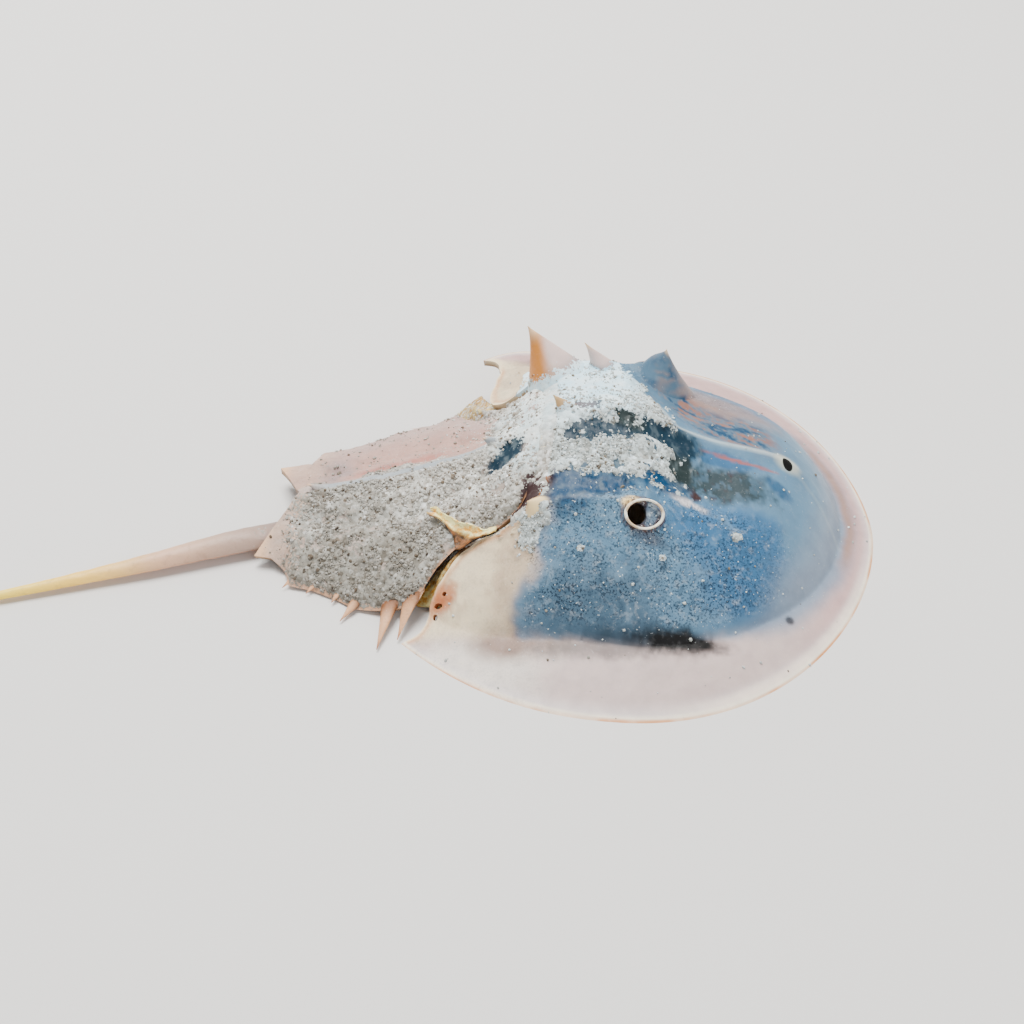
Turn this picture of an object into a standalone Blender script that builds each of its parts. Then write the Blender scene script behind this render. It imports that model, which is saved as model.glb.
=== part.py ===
"""Horseshoe crab shell: a dried, empty shell that lies on its rim.

Four pieces: the head shield, the abdomen shield, the hinge membrane between them and the tail
spine. The frame has +X towards the head, +Y towards the shell's left side and +Z up. The
origin is under the middle of the whole, on the surface it lies on.

Lengths below are in millimetres. "back" is the distance behind the front tip, "side" the
distance from the middle plane, positive to the left, and "height" is above the surface.
"""

import math

import bmesh
import bpy
import numpy as np
from mathutils import Matrix, Vector

MM = 0.001

# Driving dimensions
HEAD_WIDTH = 90.0
TOTAL_LENGTH = 172.0
WALL = 1.2
PIECE_GAP = 0.7
STEEPEST_UPRIGHT = 0.5

# Head shield outline: a blunt nose, widest point, then a sweep in to the rear corners
HEAD_WIDEST_BACK = 41.6
NOSE_POWER = 2.145
FLANK_POWER = 1.753
LEVEL_POWER = 1.95
CORNER_BACK = 75.2
CORNER_SIDE = 32.2
CORNER_SWEEP = 2.2
FRONT_ARC_ANGLE = math.radians(45)
HEAD_REAR_EDGE = [(54.0, 0.0), (54.0, 5.4), (54.6, 11.5), (56.2, 16.6), (58.6, 18.0), (61.3, 18.2),
                  (64.3, 17.8), (67.1, 19.1), (69.5, 22.1), (71.0, 25.2), (71.4, 28.2), (72.7, 30.8), (75.2, 32.2)]

# Head shield heights
FLANGE_TOP = [(0, 4.5), (50, 4.5), (74, 3.2)]
FLANGE_RISE = [(0, 18.5), (50, 18.5), (74, 10.0)]
DOME_FRONT_BACK = 5.9
DOME_HALF_WIDTH = [(0, 32.4), (50, 32.4), (64, 31.0), (74, 27.0)]
DOME_RISE = [(5.9, 18.0), (16, 17.5), (22, 15.3), (27, 14.2), (31, 14.3), (35, 15.4), (40, 17.3),
             (46, 18.4), (51, 18.2), (54, 17.4), (57.5, 14.6), (63, 9.2), (69, 5.8), (75, 1.6)]
DOME_NOSE_POWER = 2.1
DOME_FULLNESS = 0.87
CREST_HEIGHT = 0.9
CREST_WIDTH = 1.5
CREST_START = (10.0, 8.0)
RIDGE_SIDE = 17.6
RIDGE_HEIGHT = 1.3
RIDGE_WIDTH = 1.9
RIDGE_START = (33.0, 6.0)
RIDGE_END = (66.0, 8.0)
FURROW_SIDE = 9.0
FURROW_DEPTH = 0.9
FURROW_WIDTH = 3.2
FURROW_START = (20.0, 12.0)
EYE_BACK = 38.9
EYE_SIDE = 19.3
EYE_MOUND = 1.6
EYE_MOUND_WIDTH = 4.2

# The left rear corner has curled up as it dried
CURL_HEIGHT = 8.5
CURL_PULL = 6.0
CURL_START_BACK = 46.0
CURL_START_SIDE = 16.0
CURL_END_SIDE = 31.0
CURL_PULL_END_SIDE = 28.0

# Eyes
EYE_LIP_LENGTH = 5.8
EYE_LIP_WIDTH = 4.4
EYE_LIP_THICKNESS = 0.5
EYE_HOLE_LENGTH = 2.7
EYE_HOLE_WIDTH = 3.0
EYE_HOLE_SHIFT = 1.2
EYE_LENS_HEIGHT = 0.6
OCELLUS_BACK = 16.0
OCELLUS_HOLE = 0.8
HOLE_HALF_DEPTH = 3.0

# Abdomen shield: half outline from the front edge round to the point beside the tail
ABDOMEN_OUTLINE = [(55.9, 10.4), (58.4, 15.6), (61.3, 16.2), (64.6, 15.4), (68.4, 16.6), (70.8, 19.1),
                   (72.6, 22.4), (75.4, 23.6), (78.6, 23.4), (83.2, 22.2), (87.0, 19.6), (91.0, 17.5),
                   (95.0, 16.4), (96.4, 13.0), (98.8, 11.2), (101.6, 10.6)]
ABDOMEN_MIDDLE = (55.6, 96.0)
ABDOMEN_CREST = [(54, 22.6), (55.6, 21.6), (60, 17.9), (67, 13.4), (75, 10.6), (87, 7.6), (97, 5.9), (102, 4.6)]
ABDOMEN_MARGIN = [(54, 19.2), (55.6, 17.8), (58.6, 14.6), (63.2, 10.4), (67, 8.4), (70.4, 6.6), (73.3, 4.2),
                  (76, 1.9), (80, 1.0), (102, 1.0)]
ABDOMEN_FULLNESS = 0.95
ABDOMEN_YAW_START = 56.0
ABDOMEN_YAW = math.radians(8.0)
ABDOMEN_ROLL_LIFT = 1.2
ABDOMEN_ROLL_START = 68.0
LEFT_PINCH_BACK = 89.0
LEFT_PINCH_LENGTH = 8.0
LEFT_PINCH = 0.11
AXIAL_FURROW_SIDE = 0.36
AXIAL_FURROW_DEPTH = 0.8
AXIAL_FURROW_SHARE = 0.12
ABDOMEN_RELIEF_START = (57.0, 6.0)
ABDOMEN_RELIEF_END = (98.0, 3.0)
PIT_BACKS = [64.5, 70.0, 75.5, 81.0, 86.5, 91.5]
PIT_DEPTH = 0.7
PIT_WIDTH = 1.5

# Tail spine: points of its middle line, and half width and height along it
TAIL_PATH = [(97.4, -9.8, 1.5), (103.0, -12.6, 2.0), (110.8, -16.2, 2.0), (118.0, -19.5, 1.8),
             (125.9, -22.8, 1.5), (140.5, -28.7, 1.1), (156.0, -34.6, 0.8), (172.0, -40.4, 0.5)]
TAIL_HALF_WIDTH = [(0, 3.0), (0.05, 2.9), (0.12, 2.5), (0.23, 2.1), (0.42, 1.35), (0.62, 0.8), (0.8, 0.5), (1, 0.18)]
TAIL_KEEL = [(0, 0.9), (0.05, 1.4), (0.12, 1.75), (0.23, 1.5), (0.42, 1.0), (0.62, 0.65), (0.8, 0.4), (1, 0.18)]
TAIL_KEEL_SHARPNESS = 1.6

# Spines: back and side of the root, back, side and height of the tip, radius of the root
HEAD_SPINES = {
    "left_rear_spine": (55.8, 17.2, 60.0, 16.8, 27.6, 3.3),
    "left_thin_spine": (46.6, 17.2, 50.2, 16.6, 25.0, 1.3),
    "left_eye_spine": (36.2, 16.6, 36.2, 16.6, 24.3, 3.0),
    "middle_rear_spine": (51.6, 0.0, 54.4, 0.0, 26.2, 1.5),
    "middle_front_spine": (38.0, 0.0, 39.4, 0.0, 24.6, 1.1),
    "right_rear_stub": (55.0, -18.0, 57.0, -18.2, 18.8, 2.0),
    "right_eye_stub": (37.6, -15.6, 38.6, -15.2, 20.9, 1.3),
}
ABDOMEN_SPINES = {
    "right_edge_spine_1": (74.3, -25.0, 75.9, -32.2, 1.0, 1.45),
    "right_edge_spine_2": (77.8, -25.4, 78.7, -34.4, 0.8, 1.25),
    "right_edge_spine_3": (83.4, -25.0, 85.5, -28.9, 0.8, 1.1),
    "right_edge_spine_4": (86.4, -23.4, 87.6, -25.2, 0.9, 1.2),
    "right_edge_tooth_5": (90.2, -22.0, 92.0, -23.4, 0.9, 0.9),
    "right_edge_tooth_6": (93.8, -21.2, 96.0, -22.4, 0.9, 0.9),
    "left_edge_spine_1": (78.0, 19.6, 81.4, 20.6, 1.2, 0.9),
    "left_edge_spine_2": (81.6, 17.6, 85.0, 18.2, 1.2, 0.9),
    "left_edge_spine_3": (85.2, 14.6, 88.6, 15.2, 1.4, 0.9),
    "left_edge_spine_4": (88.8, 11.8, 92.2, 12.4, 1.6, 0.85),
    "left_edge_spine_5": (92.2, 10.6, 95.4, 11.1, 1.8, 0.8),
    "front_crest_spine": (63.0, -1.0, 66.6, -1.5, 18.6, 1.2),
    "rear_crest_spine": (91.5, -5.0, 95.6, -5.6, 9.4, 1.2),
}
SPINE_SINK = 0.55
SPINE_SIDES = 9
SPINE_RINGS = 3
SPINE_HOLLOW = 0.22

# Hinge membrane: a strip under the head shield's rear edge and the abdomen's front edge
MEMBRANE_THICKNESS = 0.7
MEMBRANE_UNDER_HEAD = -2.4
MEMBRANE_UNDER_ABDOMEN = 3.2
MEMBRANE_REACH = 0.70

# Depth of the block below the rim that trims it flat
FLOOR_DEPTH = 10.0

# Mesh fineness
NORMAL_STEP = 0.4
HEAD_COLUMNS = 32
HEAD_ROWS = 26
ABDOMEN_COLUMNS = 22
ABDOMEN_ROWS_PER_POINT = 2
MEMBRANE_COLUMNS = 28
MEMBRANE_ROWS = 4
TAIL_SIDES = 10
TAIL_RINGS = 21

# Colours seen in the photograph, and roughness
FINISHES = {
    "head_shield": ((0.42, 0.49, 0.57), 0.45),
    "abdomen_shield": ((0.52, 0.49, 0.47), 0.85),
    "hinge_membrane": ((0.45, 0.27, 0.12), 0.6),
    "tail_spine": ((0.72, 0.62, 0.45), 0.5),
}


def curve_through(knots, at):
    """Value at each place of a smooth curve through the knots, level-free at its ends."""
    places, values = np.array(knots, float).T
    slopes = np.gradient(values, places)
    at = np.clip(at, places[0], places[-1])
    first = np.clip(np.searchsorted(places, at) - 1, 0, len(places) - 2)
    span = places[first + 1] - places[first]
    t = (at - places[first]) / span
    from_value = (2 * t ** 3 - 3 * t ** 2 + 1) * values[first] + (3 * t ** 2 - 2 * t ** 3) * values[first + 1]
    from_slope = (t ** 3 - 2 * t ** 2 + t) * slopes[first] + (t ** 3 - t ** 2) * slopes[first + 1]
    return from_value + span * from_slope


def path_through(points, t):
    """Points at the fractions t of a smooth path that passes through the points in turn."""
    points = np.array(points, float)
    steps = np.linalg.norm(np.diff(points, axis=0), axis=1)
    places = np.concatenate([[0], np.cumsum(steps)]) / steps.sum()
    return np.stack([curve_through(np.stack([places, column], 1), t) for column in points.T], -1)


def smooth_step(value):
    value = np.clip(value, 0, 1)
    return value * value * (3 - 2 * value)


def bump(value, width):
    return np.exp(-(value / width) ** 2)


def after(back, zone):
    """0 ahead of a zone, given by its start and length, and 1 behind it."""
    start, length = zone
    return smooth_step((back - start) / length)


def ahead_of(back, zone):
    """1 well ahead of a zone's end, 0 behind it; the zone is its end and length."""
    end, length = zone
    return smooth_step((end - back) / length)


def head_half_width(back):
    behind = np.clip((back - HEAD_WIDEST_BACK) / (CORNER_BACK - HEAD_WIDEST_BACK), 0, None)
    return HEAD_WIDTH / 2 - (HEAD_WIDTH / 2 - CORNER_SIDE) * behind ** CORNER_SWEEP


def margin_level(back, side):
    """0 on the widest line's middle, 1 on the outer margin of the head shield."""
    ahead = np.clip((HEAD_WIDEST_BACK - back) / HEAD_WIDEST_BACK, 0, 1)
    across = np.abs(side) / head_half_width(back)
    return (ahead ** NOSE_POWER + across ** FLANK_POWER) ** (1 / LEVEL_POWER)


def head_relief(back, side):
    """The crest, the eye ridges, the furrows between them and the mounds under the eyes."""
    crest = CREST_HEIGHT * bump(side, CREST_WIDTH) * after(back, CREST_START)
    ridge = RIDGE_HEIGHT * bump(np.abs(side) - RIDGE_SIDE, RIDGE_WIDTH)
    ridge = ridge * after(back, RIDGE_START) * ahead_of(back, RIDGE_END)
    furrow = FURROW_DEPTH * bump(np.abs(side) - FURROW_SIDE, FURROW_WIDTH) * after(back, FURROW_START)
    eye = EYE_MOUND * bump(np.hypot(back - EYE_BACK, np.abs(side) - EYE_SIDE), EYE_MOUND_WIDTH)
    return crest + ridge - furrow + eye


def head_height(back, side):
    top = curve_through(FLANGE_TOP, back)
    inward = np.clip(1 - margin_level(back, side), 0, 1) * curve_through(FLANGE_RISE, back) / top
    flange = top * inward / (1 + inward ** 4) ** 0.25
    ahead = np.clip((HEAD_WIDEST_BACK - back) / (HEAD_WIDEST_BACK - DOME_FRONT_BACK), 0, None)
    foot = ahead ** DOME_NOSE_POWER + (side / curve_through(DOME_HALF_WIDTH, back)) ** 2
    inside = np.clip(1 - foot, 0, 1)
    dome = curve_through(DOME_RISE, back) * inside ** DOME_FULLNESS
    return flange + dome + head_relief(back, side) * smooth_step(inside * 4)


def head_surface(back, side):
    """Points of the head shield's outer surface in millimetres, the left corner curled up."""
    curl = smooth_step((back - CURL_START_BACK) / (CORNER_BACK - CURL_START_BACK))
    lift = curl * smooth_step((side - CURL_START_SIDE) / (CURL_END_SIDE - CURL_START_SIDE))
    pull = curl * smooth_step((side - CURL_START_SIDE) / (CURL_PULL_END_SIDE - CURL_START_SIDE))
    ahead = TOTAL_LENGTH / 2 - back + CURL_PULL * pull
    return np.stack([ahead, side, head_height(back, side) + CURL_HEIGHT * lift], -1)


def front_arc(t):
    angle = t * FRONT_ARC_ANGLE
    back = HEAD_WIDEST_BACK * (1 - np.cos(angle) ** (2 / NOSE_POWER))
    return np.stack([back, HEAD_WIDTH / 2 * np.sin(angle) ** (2 / FLANK_POWER)], -1)


def side_arc(t):
    """The outer margin from the front arc's end, past the widest point, to the rear corner."""
    angle = FRONT_ARC_ANGLE + (math.pi / 2 - FRONT_ARC_ANGLE) * np.clip(2 * t, 0, 1)
    behind = HEAD_WIDEST_BACK + (CORNER_BACK - HEAD_WIDEST_BACK) * np.clip(2 * t - 1, 0, 1)
    ahead = HEAD_WIDEST_BACK * (1 - np.abs(np.cos(angle)) ** (2 / NOSE_POWER))
    ahead_side = HEAD_WIDTH / 2 * np.sin(angle) ** (2 / FLANK_POWER)
    before = t < 0.5
    return np.stack([np.where(before, ahead, behind), np.where(before, ahead_side, head_half_width(behind))], -1)


def head_plan(across, along):
    """Back and side of the head shield's grid: a patch between its middle line and its edges."""
    u, v = np.abs(across)[:, None], along[:, None]
    middle = np.stack([HEAD_REAR_EDGE[0][0] * along, 0 * along], -1)
    front, outer = front_arc(u[:, 0]), side_arc(v[:, 0])
    rear = path_through(HEAD_REAR_EDGE, u[:, 0])
    tip, shoulder = front_arc(np.array([0.0])), front_arc(np.array([1.0]))
    hinge, corner = np.array([HEAD_REAR_EDGE[0]]), np.array([HEAD_REAR_EDGE[-1]])
    blend = (1 - v) * front + v * rear + (1 - u) * middle + u * outer
    corners = (1 - u) * (1 - v) * tip + u * (1 - v) * shoulder + (1 - u) * v * hinge + u * v * corner
    plan = blend - corners
    return plan[:, 0], plan[:, 1] * np.sign(across)


def head_middle(back):
    return 0 * back


def abdomen_middle(back):
    return -(back - ABDOMEN_YAW_START) * math.tan(ABDOMEN_YAW)


def abdomen_half_width(back):
    outline = ABDOMEN_OUTLINE[:-2]
    return np.interp(back, [p[0] for p in outline], [p[1] for p in outline])


def abdomen_surface(back, side):
    """Points of the abdomen shield's outer surface; side is measured from its own middle line."""
    across = np.clip(np.abs(side) / abdomen_half_width(back), 0, 1)
    low = curve_through(ABDOMEN_MARGIN, back)
    height = low + (curve_through(ABDOMEN_CREST, back) - low) * (1 - across ** 2) ** ABDOMEN_FULLNESS
    shape = after(back, ABDOMEN_RELIEF_START) * ahead_of(back, ABDOMEN_RELIEF_END)
    height = height + CREST_HEIGHT * bump(side, CREST_WIDTH) * shape
    height = height - AXIAL_FURROW_DEPTH * bump(across - AXIAL_FURROW_SIDE, AXIAL_FURROW_SHARE) * shape
    for pit_back in PIT_BACKS:
        pit_side = AXIAL_FURROW_SIDE * abdomen_half_width(pit_back)
        height = height - PIT_DEPTH * bump(np.hypot(back - pit_back, np.abs(side) - pit_side), PIT_WIDTH)
    far = smooth_step((back - ABDOMEN_ROLL_START) / (ABDOMEN_MIDDLE[1] - ABDOMEN_ROLL_START))
    height = height + ABDOMEN_ROLL_LIFT * far * smooth_step(side / abdomen_half_width(back))
    return np.stack([TOTAL_LENGTH / 2 - back, side + abdomen_middle(back), height], -1)


def abdomen_plan(across, along):
    outline = np.array(ABDOMEN_OUTLINE)
    places = np.linspace(0, 1, len(outline))
    edge_back = np.interp(along, places, outline[:, 0])
    edge_side = np.interp(along, places, outline[:, 1])
    middle_back = ABDOMEN_MIDDLE[0] + (ABDOMEN_MIDDLE[1] - ABDOMEN_MIDDLE[0]) * along
    u = np.abs(across)
    pinch = 1 - LEFT_PINCH * bump(edge_back - LEFT_PINCH_BACK, LEFT_PINCH_LENGTH) * (across > 0)
    return middle_back + (edge_back - middle_back) * u, edge_side * across * pinch


def surface_normal(surface, back, side):
    """Outward unit normal of a surface, from small steps on it."""
    along = surface(back + NORMAL_STEP, side) - surface(back - NORMAL_STEP, side)
    across = surface(back, side + NORMAL_STEP) - surface(back, side - NORMAL_STEP)
    normal = np.cross(across, along)
    return normal / np.linalg.norm(normal, axis=-1, keepdims=True)


def height_under(surface, back, side):
    """Height just clear of the underside of a wall whose outer surface is given."""
    upright = np.clip(surface_normal(surface, back, side)[:, 2], STEEPEST_UPRIGHT, 1)
    return surface(back, side)[:, 2] - (WALL + PIECE_GAP) / upright


def new_object(name, mesh, collection):
    item = bpy.data.objects.new(name, mesh)
    collection.objects.link(item)
    return item


def sheet(name, collection, columns, rows, place):
    """An open sheet of quads whose grid is put in place by a function of across and along."""
    grid = bmesh.new()
    bmesh.ops.create_grid(grid, x_segments=columns, y_segments=rows, size=1)
    flat = np.array([vert.co for vert in grid.verts], float)
    points = place(flat[:, 0], (flat[:, 1] + 1) / 2) * MM
    for vert, point in zip(grid.verts, points):
        vert.co = point
    mesh = bpy.data.meshes.new(name)
    grid.to_mesh(mesh)
    grid.free()
    mesh.shade_smooth()
    return new_object(name, mesh, collection)


def spike(name, collection, sides, rings, place):
    """A closed spike from a cone primitive; place gives a point for x, y and the share of length."""
    cone = bmesh.new()
    bmesh.ops.create_cone(cone, cap_ends=True, segments=sides, radius1=1, radius2=1, depth=1)
    lengthwise = [edge for edge in cone.edges if abs(edge.verts[0].co.z - edge.verts[1].co.z) > 0.5]
    bmesh.ops.subdivide_edges(cone, edges=lengthwise, cuts=rings - 1)
    flat = np.array([vert.co for vert in cone.verts], float)
    points = place(flat[:, 0], flat[:, 1], flat[:, 2] + 0.5) * MM
    for vert, point in zip(cone.verts, points):
        vert.co = point
    if cone.calc_volume(signed=True) < 0:
        bmesh.ops.reverse_faces(cone, faces=cone.faces)
    mesh = bpy.data.meshes.new(name)
    cone.to_mesh(mesh)
    cone.free()
    return new_object(name, mesh, collection)


def frame_on(surface, back, side):
    """Point, tangent towards the rear, tangent to the side and normal, at one place."""
    point = surface(np.array([back]), np.array([side]))[0]
    normal = surface_normal(surface, np.array([back]), np.array([side]))[0]
    rearward = np.array([-1.0, 0, 0]) + normal * normal[0]
    rearward = rearward / np.linalg.norm(rearward)
    return point, rearward, np.cross(normal, rearward), normal


def grow_spine(name, collection, surface, middle, root, tip_radius=0.12):
    """A spine that stands on a surface, its root flush with it, its tip where the table says."""
    back, side, tip_back, tip_side, tip_height, radius = root
    point, rearward, sideward, normal = frame_on(surface, back, side - middle(back))
    base = point - normal * SPINE_SINK
    tip = np.array([TOTAL_LENGTH / 2 - tip_back, tip_side, tip_height])

    def place(x, y, share):
        reach = radius + (tip_radius - radius) * share - SPINE_HOLLOW * radius * np.sin(math.pi * share)
        axis = base + (tip - base) * share[:, None]
        return axis + (rearward * x[:, None] + sideward * y[:, None]) * reach[:, None]

    return spike(name, collection, SPINE_SIDES, SPINE_RINGS, place)


def on_surface(item, frame, lift):
    """Stands an object made at the origin on a surface, its x to the rear and its z outwards."""
    point, rearward, sideward, normal = frame
    place = np.eye(4)
    place[:3, 0], place[:3, 1], place[:3, 2] = rearward, sideward, normal
    place[:3, 3] = (point + normal * lift) * MM
    item.matrix_world = Matrix(place.tolist())
    return item


def eye_lip(name, collection, frame):
    bpy.ops.mesh.primitive_torus_add(major_segments=20, minor_segments=6, major_radius=1,
                                     minor_radius=EYE_LIP_THICKNESS * 2 / EYE_LIP_LENGTH)
    lip = bpy.context.active_object
    lip.name = name
    for owner in list(lip.users_collection):
        owner.objects.unlink(lip)
    collection.objects.link(lip)
    for vert in lip.data.vertices:
        vert.co.x *= EYE_LIP_LENGTH / 2 * MM
        vert.co.y *= EYE_LIP_WIDTH / 2 * MM
        vert.co.z *= EYE_LIP_LENGTH / 2 * MM
    return on_surface(lip, frame, 0.1)


def oval_plug(name, collection, frame, half_length, half_width, half_depth, shift):
    """An oval cylinder across the wall, shifted towards the rear."""

    def place(x, y, share):
        return np.stack([x * half_length + shift, y * half_width, (share - 0.5) * 2 * half_depth], -1)

    return on_surface(spike(name, collection, 16, 1, place), frame, 0)


def eye_lens(name, collection, frame):
    ball = bmesh.new()
    bmesh.ops.create_uvsphere(ball, u_segments=14, v_segments=8, radius=1)
    for vert in ball.verts:
        vert.co = Vector((vert.co.x * EYE_LIP_LENGTH / 2, vert.co.y * EYE_LIP_WIDTH / 2,
                          vert.co.z * EYE_LENS_HEIGHT)) * MM
    mesh = bpy.data.meshes.new(name)
    ball.to_mesh(mesh)
    ball.free()
    return on_surface(new_object(name, mesh, collection), frame, -0.1)


def add_boolean(item, operation, collection):
    cut = item.modifiers.new(operation.lower(), "BOOLEAN")
    cut.operation = operation
    cut.operand_type = "COLLECTION"
    cut.collection = collection
    cut.solver = "EXACT"
    cut.use_self = True
    for tool in collection.objects:
        tool.hide_render = True
        tool.display_type = "WIRE"


def add_wall(item, thickness):
    wall = item.modifiers.new("wall", "SOLIDIFY")
    wall.thickness = thickness * MM
    wall.offset = -1
    wall.use_rim = True


def floor_block(name, collection):
    """A block whose top is the surface the shell lies on; it trims the rim flat."""
    block = bmesh.new()
    bmesh.ops.create_cube(block, size=1)
    for vert in block.verts:
        vert.co = Vector((vert.co.x * 2 * TOTAL_LENGTH, vert.co.y * 2 * HEAD_WIDTH,
                          (vert.co.z - 0.5) * FLOOR_DEPTH)) * MM
    mesh = bpy.data.meshes.new(name)
    block.to_mesh(mesh)
    block.free()
    return new_object(name, mesh, collection)


def make_head_shield(parts, tools):
    def place(across, along):
        return head_surface(*head_plan(across, along))

    head = sheet("head_shield", parts, HEAD_COLUMNS, HEAD_ROWS, place)
    add_wall(head, WALL)
    floor_block("head_floor", tools["head_trim"])
    add_boolean(head, "DIFFERENCE", tools["head_trim"])
    for name, root in HEAD_SPINES.items():
        grow_spine(name, tools["head_growths"], head_surface, head_middle, root)
    right_eye = frame_on(head_surface, EYE_BACK, -EYE_SIDE)
    left_eye = frame_on(head_surface, EYE_BACK, EYE_SIDE)
    eye_lip("right_eye_lip", tools["head_growths"], right_eye)
    eye_lens("left_eye_lens", tools["head_growths"], left_eye)
    add_boolean(head, "UNION", tools["head_growths"])
    oval_plug("right_eye_hole", tools["head_holes"], right_eye, EYE_HOLE_LENGTH / 2, EYE_HOLE_WIDTH / 2,
              HOLE_HALF_DEPTH, EYE_HOLE_SHIFT)
    middle_eye = frame_on(head_surface, OCELLUS_BACK, 0.0)
    oval_plug("middle_eye_hole", tools["head_holes"], middle_eye, OCELLUS_HOLE, OCELLUS_HOLE, HOLE_HALF_DEPTH, 0)
    add_boolean(head, "DIFFERENCE", tools["head_holes"])
    return head


def make_abdomen_shield(parts, tools):
    def place(across, along):
        return abdomen_surface(*abdomen_plan(across, along))

    rows = ABDOMEN_ROWS_PER_POINT * (len(ABDOMEN_OUTLINE) - 1)
    abdomen = sheet("abdomen_shield", parts, ABDOMEN_COLUMNS, rows, place)
    add_wall(abdomen, WALL)
    floor_block("abdomen_floor", tools["abdomen_trim"])
    add_boolean(abdomen, "DIFFERENCE", tools["abdomen_trim"])
    for name, root in ABDOMEN_SPINES.items():
        grow_spine(name, tools["abdomen_growths"], abdomen_surface, abdomen_middle, root)
    add_boolean(abdomen, "UNION", tools["abdomen_growths"])
    return abdomen


def make_hinge_membrane(parts):
    def place(across, along):
        edge = path_through(HEAD_REAR_EDGE, np.abs(across) * MEMBRANE_REACH)
        step = 0.01
        ahead = path_through(HEAD_REAR_EDGE, np.abs(across) * MEMBRANE_REACH + step) - edge
        outward = np.stack([ahead[:, 1], -ahead[:, 0]], -1)
        outward = outward / np.linalg.norm(outward, axis=1, keepdims=True)
        reach = MEMBRANE_UNDER_HEAD + (MEMBRANE_UNDER_ABDOMEN - MEMBRANE_UNDER_HEAD) * along
        plan = edge + outward * reach[:, None]
        back, side = plan[:, 0], np.abs(plan[:, 1]) * np.sign(across)
        under_head = height_under(head_surface, back, side)
        under_abdomen = height_under(abdomen_surface, back, side - abdomen_middle(back))
        height = np.minimum(under_head, under_abdomen)
        return np.stack([TOTAL_LENGTH / 2 - back, side, height], -1)

    membrane = sheet("hinge_membrane", parts, MEMBRANE_COLUMNS, MEMBRANE_ROWS, place)
    add_wall(membrane, MEMBRANE_THICKNESS)
    return membrane


def make_tail_spine(parts):
    def place(x, y, share):
        middle = path_through(TAIL_PATH, share)
        ahead = path_through(TAIL_PATH, np.minimum(share + 0.01, 1)) - path_through(TAIL_PATH, share - 0.01)
        across = np.stack([ahead[:, 1], ahead[:, 0], 0 * share], -1)
        across = across / np.linalg.norm(across, axis=1, keepdims=True)
        half_width = curve_through(TAIL_HALF_WIDTH, share)
        keel = curve_through(TAIL_KEEL, share)
        up = np.where(y > 0, keel * np.abs(y) ** TAIL_KEEL_SHARPNESS, -0.75 * keel * np.abs(y))
        points = np.stack([TOTAL_LENGTH / 2 - middle[:, 0], middle[:, 1], np.maximum(middle[:, 2] + up, 0)], -1)
        return points + across * (x * half_width)[:, None]

    tail = spike("tail_spine", parts, TAIL_SIDES, TAIL_RINGS, place)
    tail.data.shade_smooth()
    tail.data.set_sharp_from_angle(angle=math.radians(50))
    return tail


def paint(item):
    colour, roughness = FINISHES[item.name]
    material = bpy.data.materials.new(item.name)
    material.use_nodes = True
    shader = material.node_tree.nodes["Principled BSDF"]
    shader.inputs["Base Color"].default_value = (*colour, 1)
    shader.inputs["Roughness"].default_value = roughness
    item.data.materials.append(material)


def main():
    for item in list(bpy.data.objects):
        bpy.data.objects.remove(item, do_unlink=True)
    parts = bpy.data.collections.new("horseshoe_crab_shell")
    bpy.context.scene.collection.children.link(parts)
    cutters = bpy.data.collections.new("cutters")
    bpy.context.scene.collection.children.link(cutters)
    tools = {}
    for name in ("head_trim", "head_growths", "head_holes", "abdomen_trim", "abdomen_growths"):
        tools[name] = bpy.data.collections.new(name)
        cutters.children.link(tools[name])
    paint(make_head_shield(parts, tools))
    paint(make_abdomen_shield(parts, tools))
    paint(make_hinge_membrane(parts))
    paint(make_tail_spine(parts))


main()
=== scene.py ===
"""Horseshoe crab shell: dried, lying on its rim, with a crust of beach sand on its back.

Lengths are in millimetres until a mesh is written. "back" is the distance behind the front tip,
"side" the distance from the middle plane, positive to the shell's left, and heights are above
the surface that the shell lies on.
"""

import math

import bpy
import numpy as np
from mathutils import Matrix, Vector


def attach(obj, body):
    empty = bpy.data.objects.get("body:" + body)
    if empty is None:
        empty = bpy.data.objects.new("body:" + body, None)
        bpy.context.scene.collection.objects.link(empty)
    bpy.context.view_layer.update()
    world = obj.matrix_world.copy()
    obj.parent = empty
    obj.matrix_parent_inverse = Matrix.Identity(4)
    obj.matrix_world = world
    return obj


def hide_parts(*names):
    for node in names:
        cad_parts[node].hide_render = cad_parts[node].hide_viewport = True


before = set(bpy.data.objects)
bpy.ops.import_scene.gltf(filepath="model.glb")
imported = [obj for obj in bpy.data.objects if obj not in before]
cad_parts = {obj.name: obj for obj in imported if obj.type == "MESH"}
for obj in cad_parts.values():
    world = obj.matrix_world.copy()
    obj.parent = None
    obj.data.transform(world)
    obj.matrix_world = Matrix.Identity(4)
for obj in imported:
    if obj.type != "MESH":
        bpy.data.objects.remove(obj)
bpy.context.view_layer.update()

MM = 0.001
HEAD_WIDTH = 90.0
TOTAL_LENGTH = 172.0
WALL = 1.0
CAD_WALL = 1.2
PIECE_GAP = 0.7
STEEPEST_UPRIGHT = 0.5
NORMAL_STEP = 0.4

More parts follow.
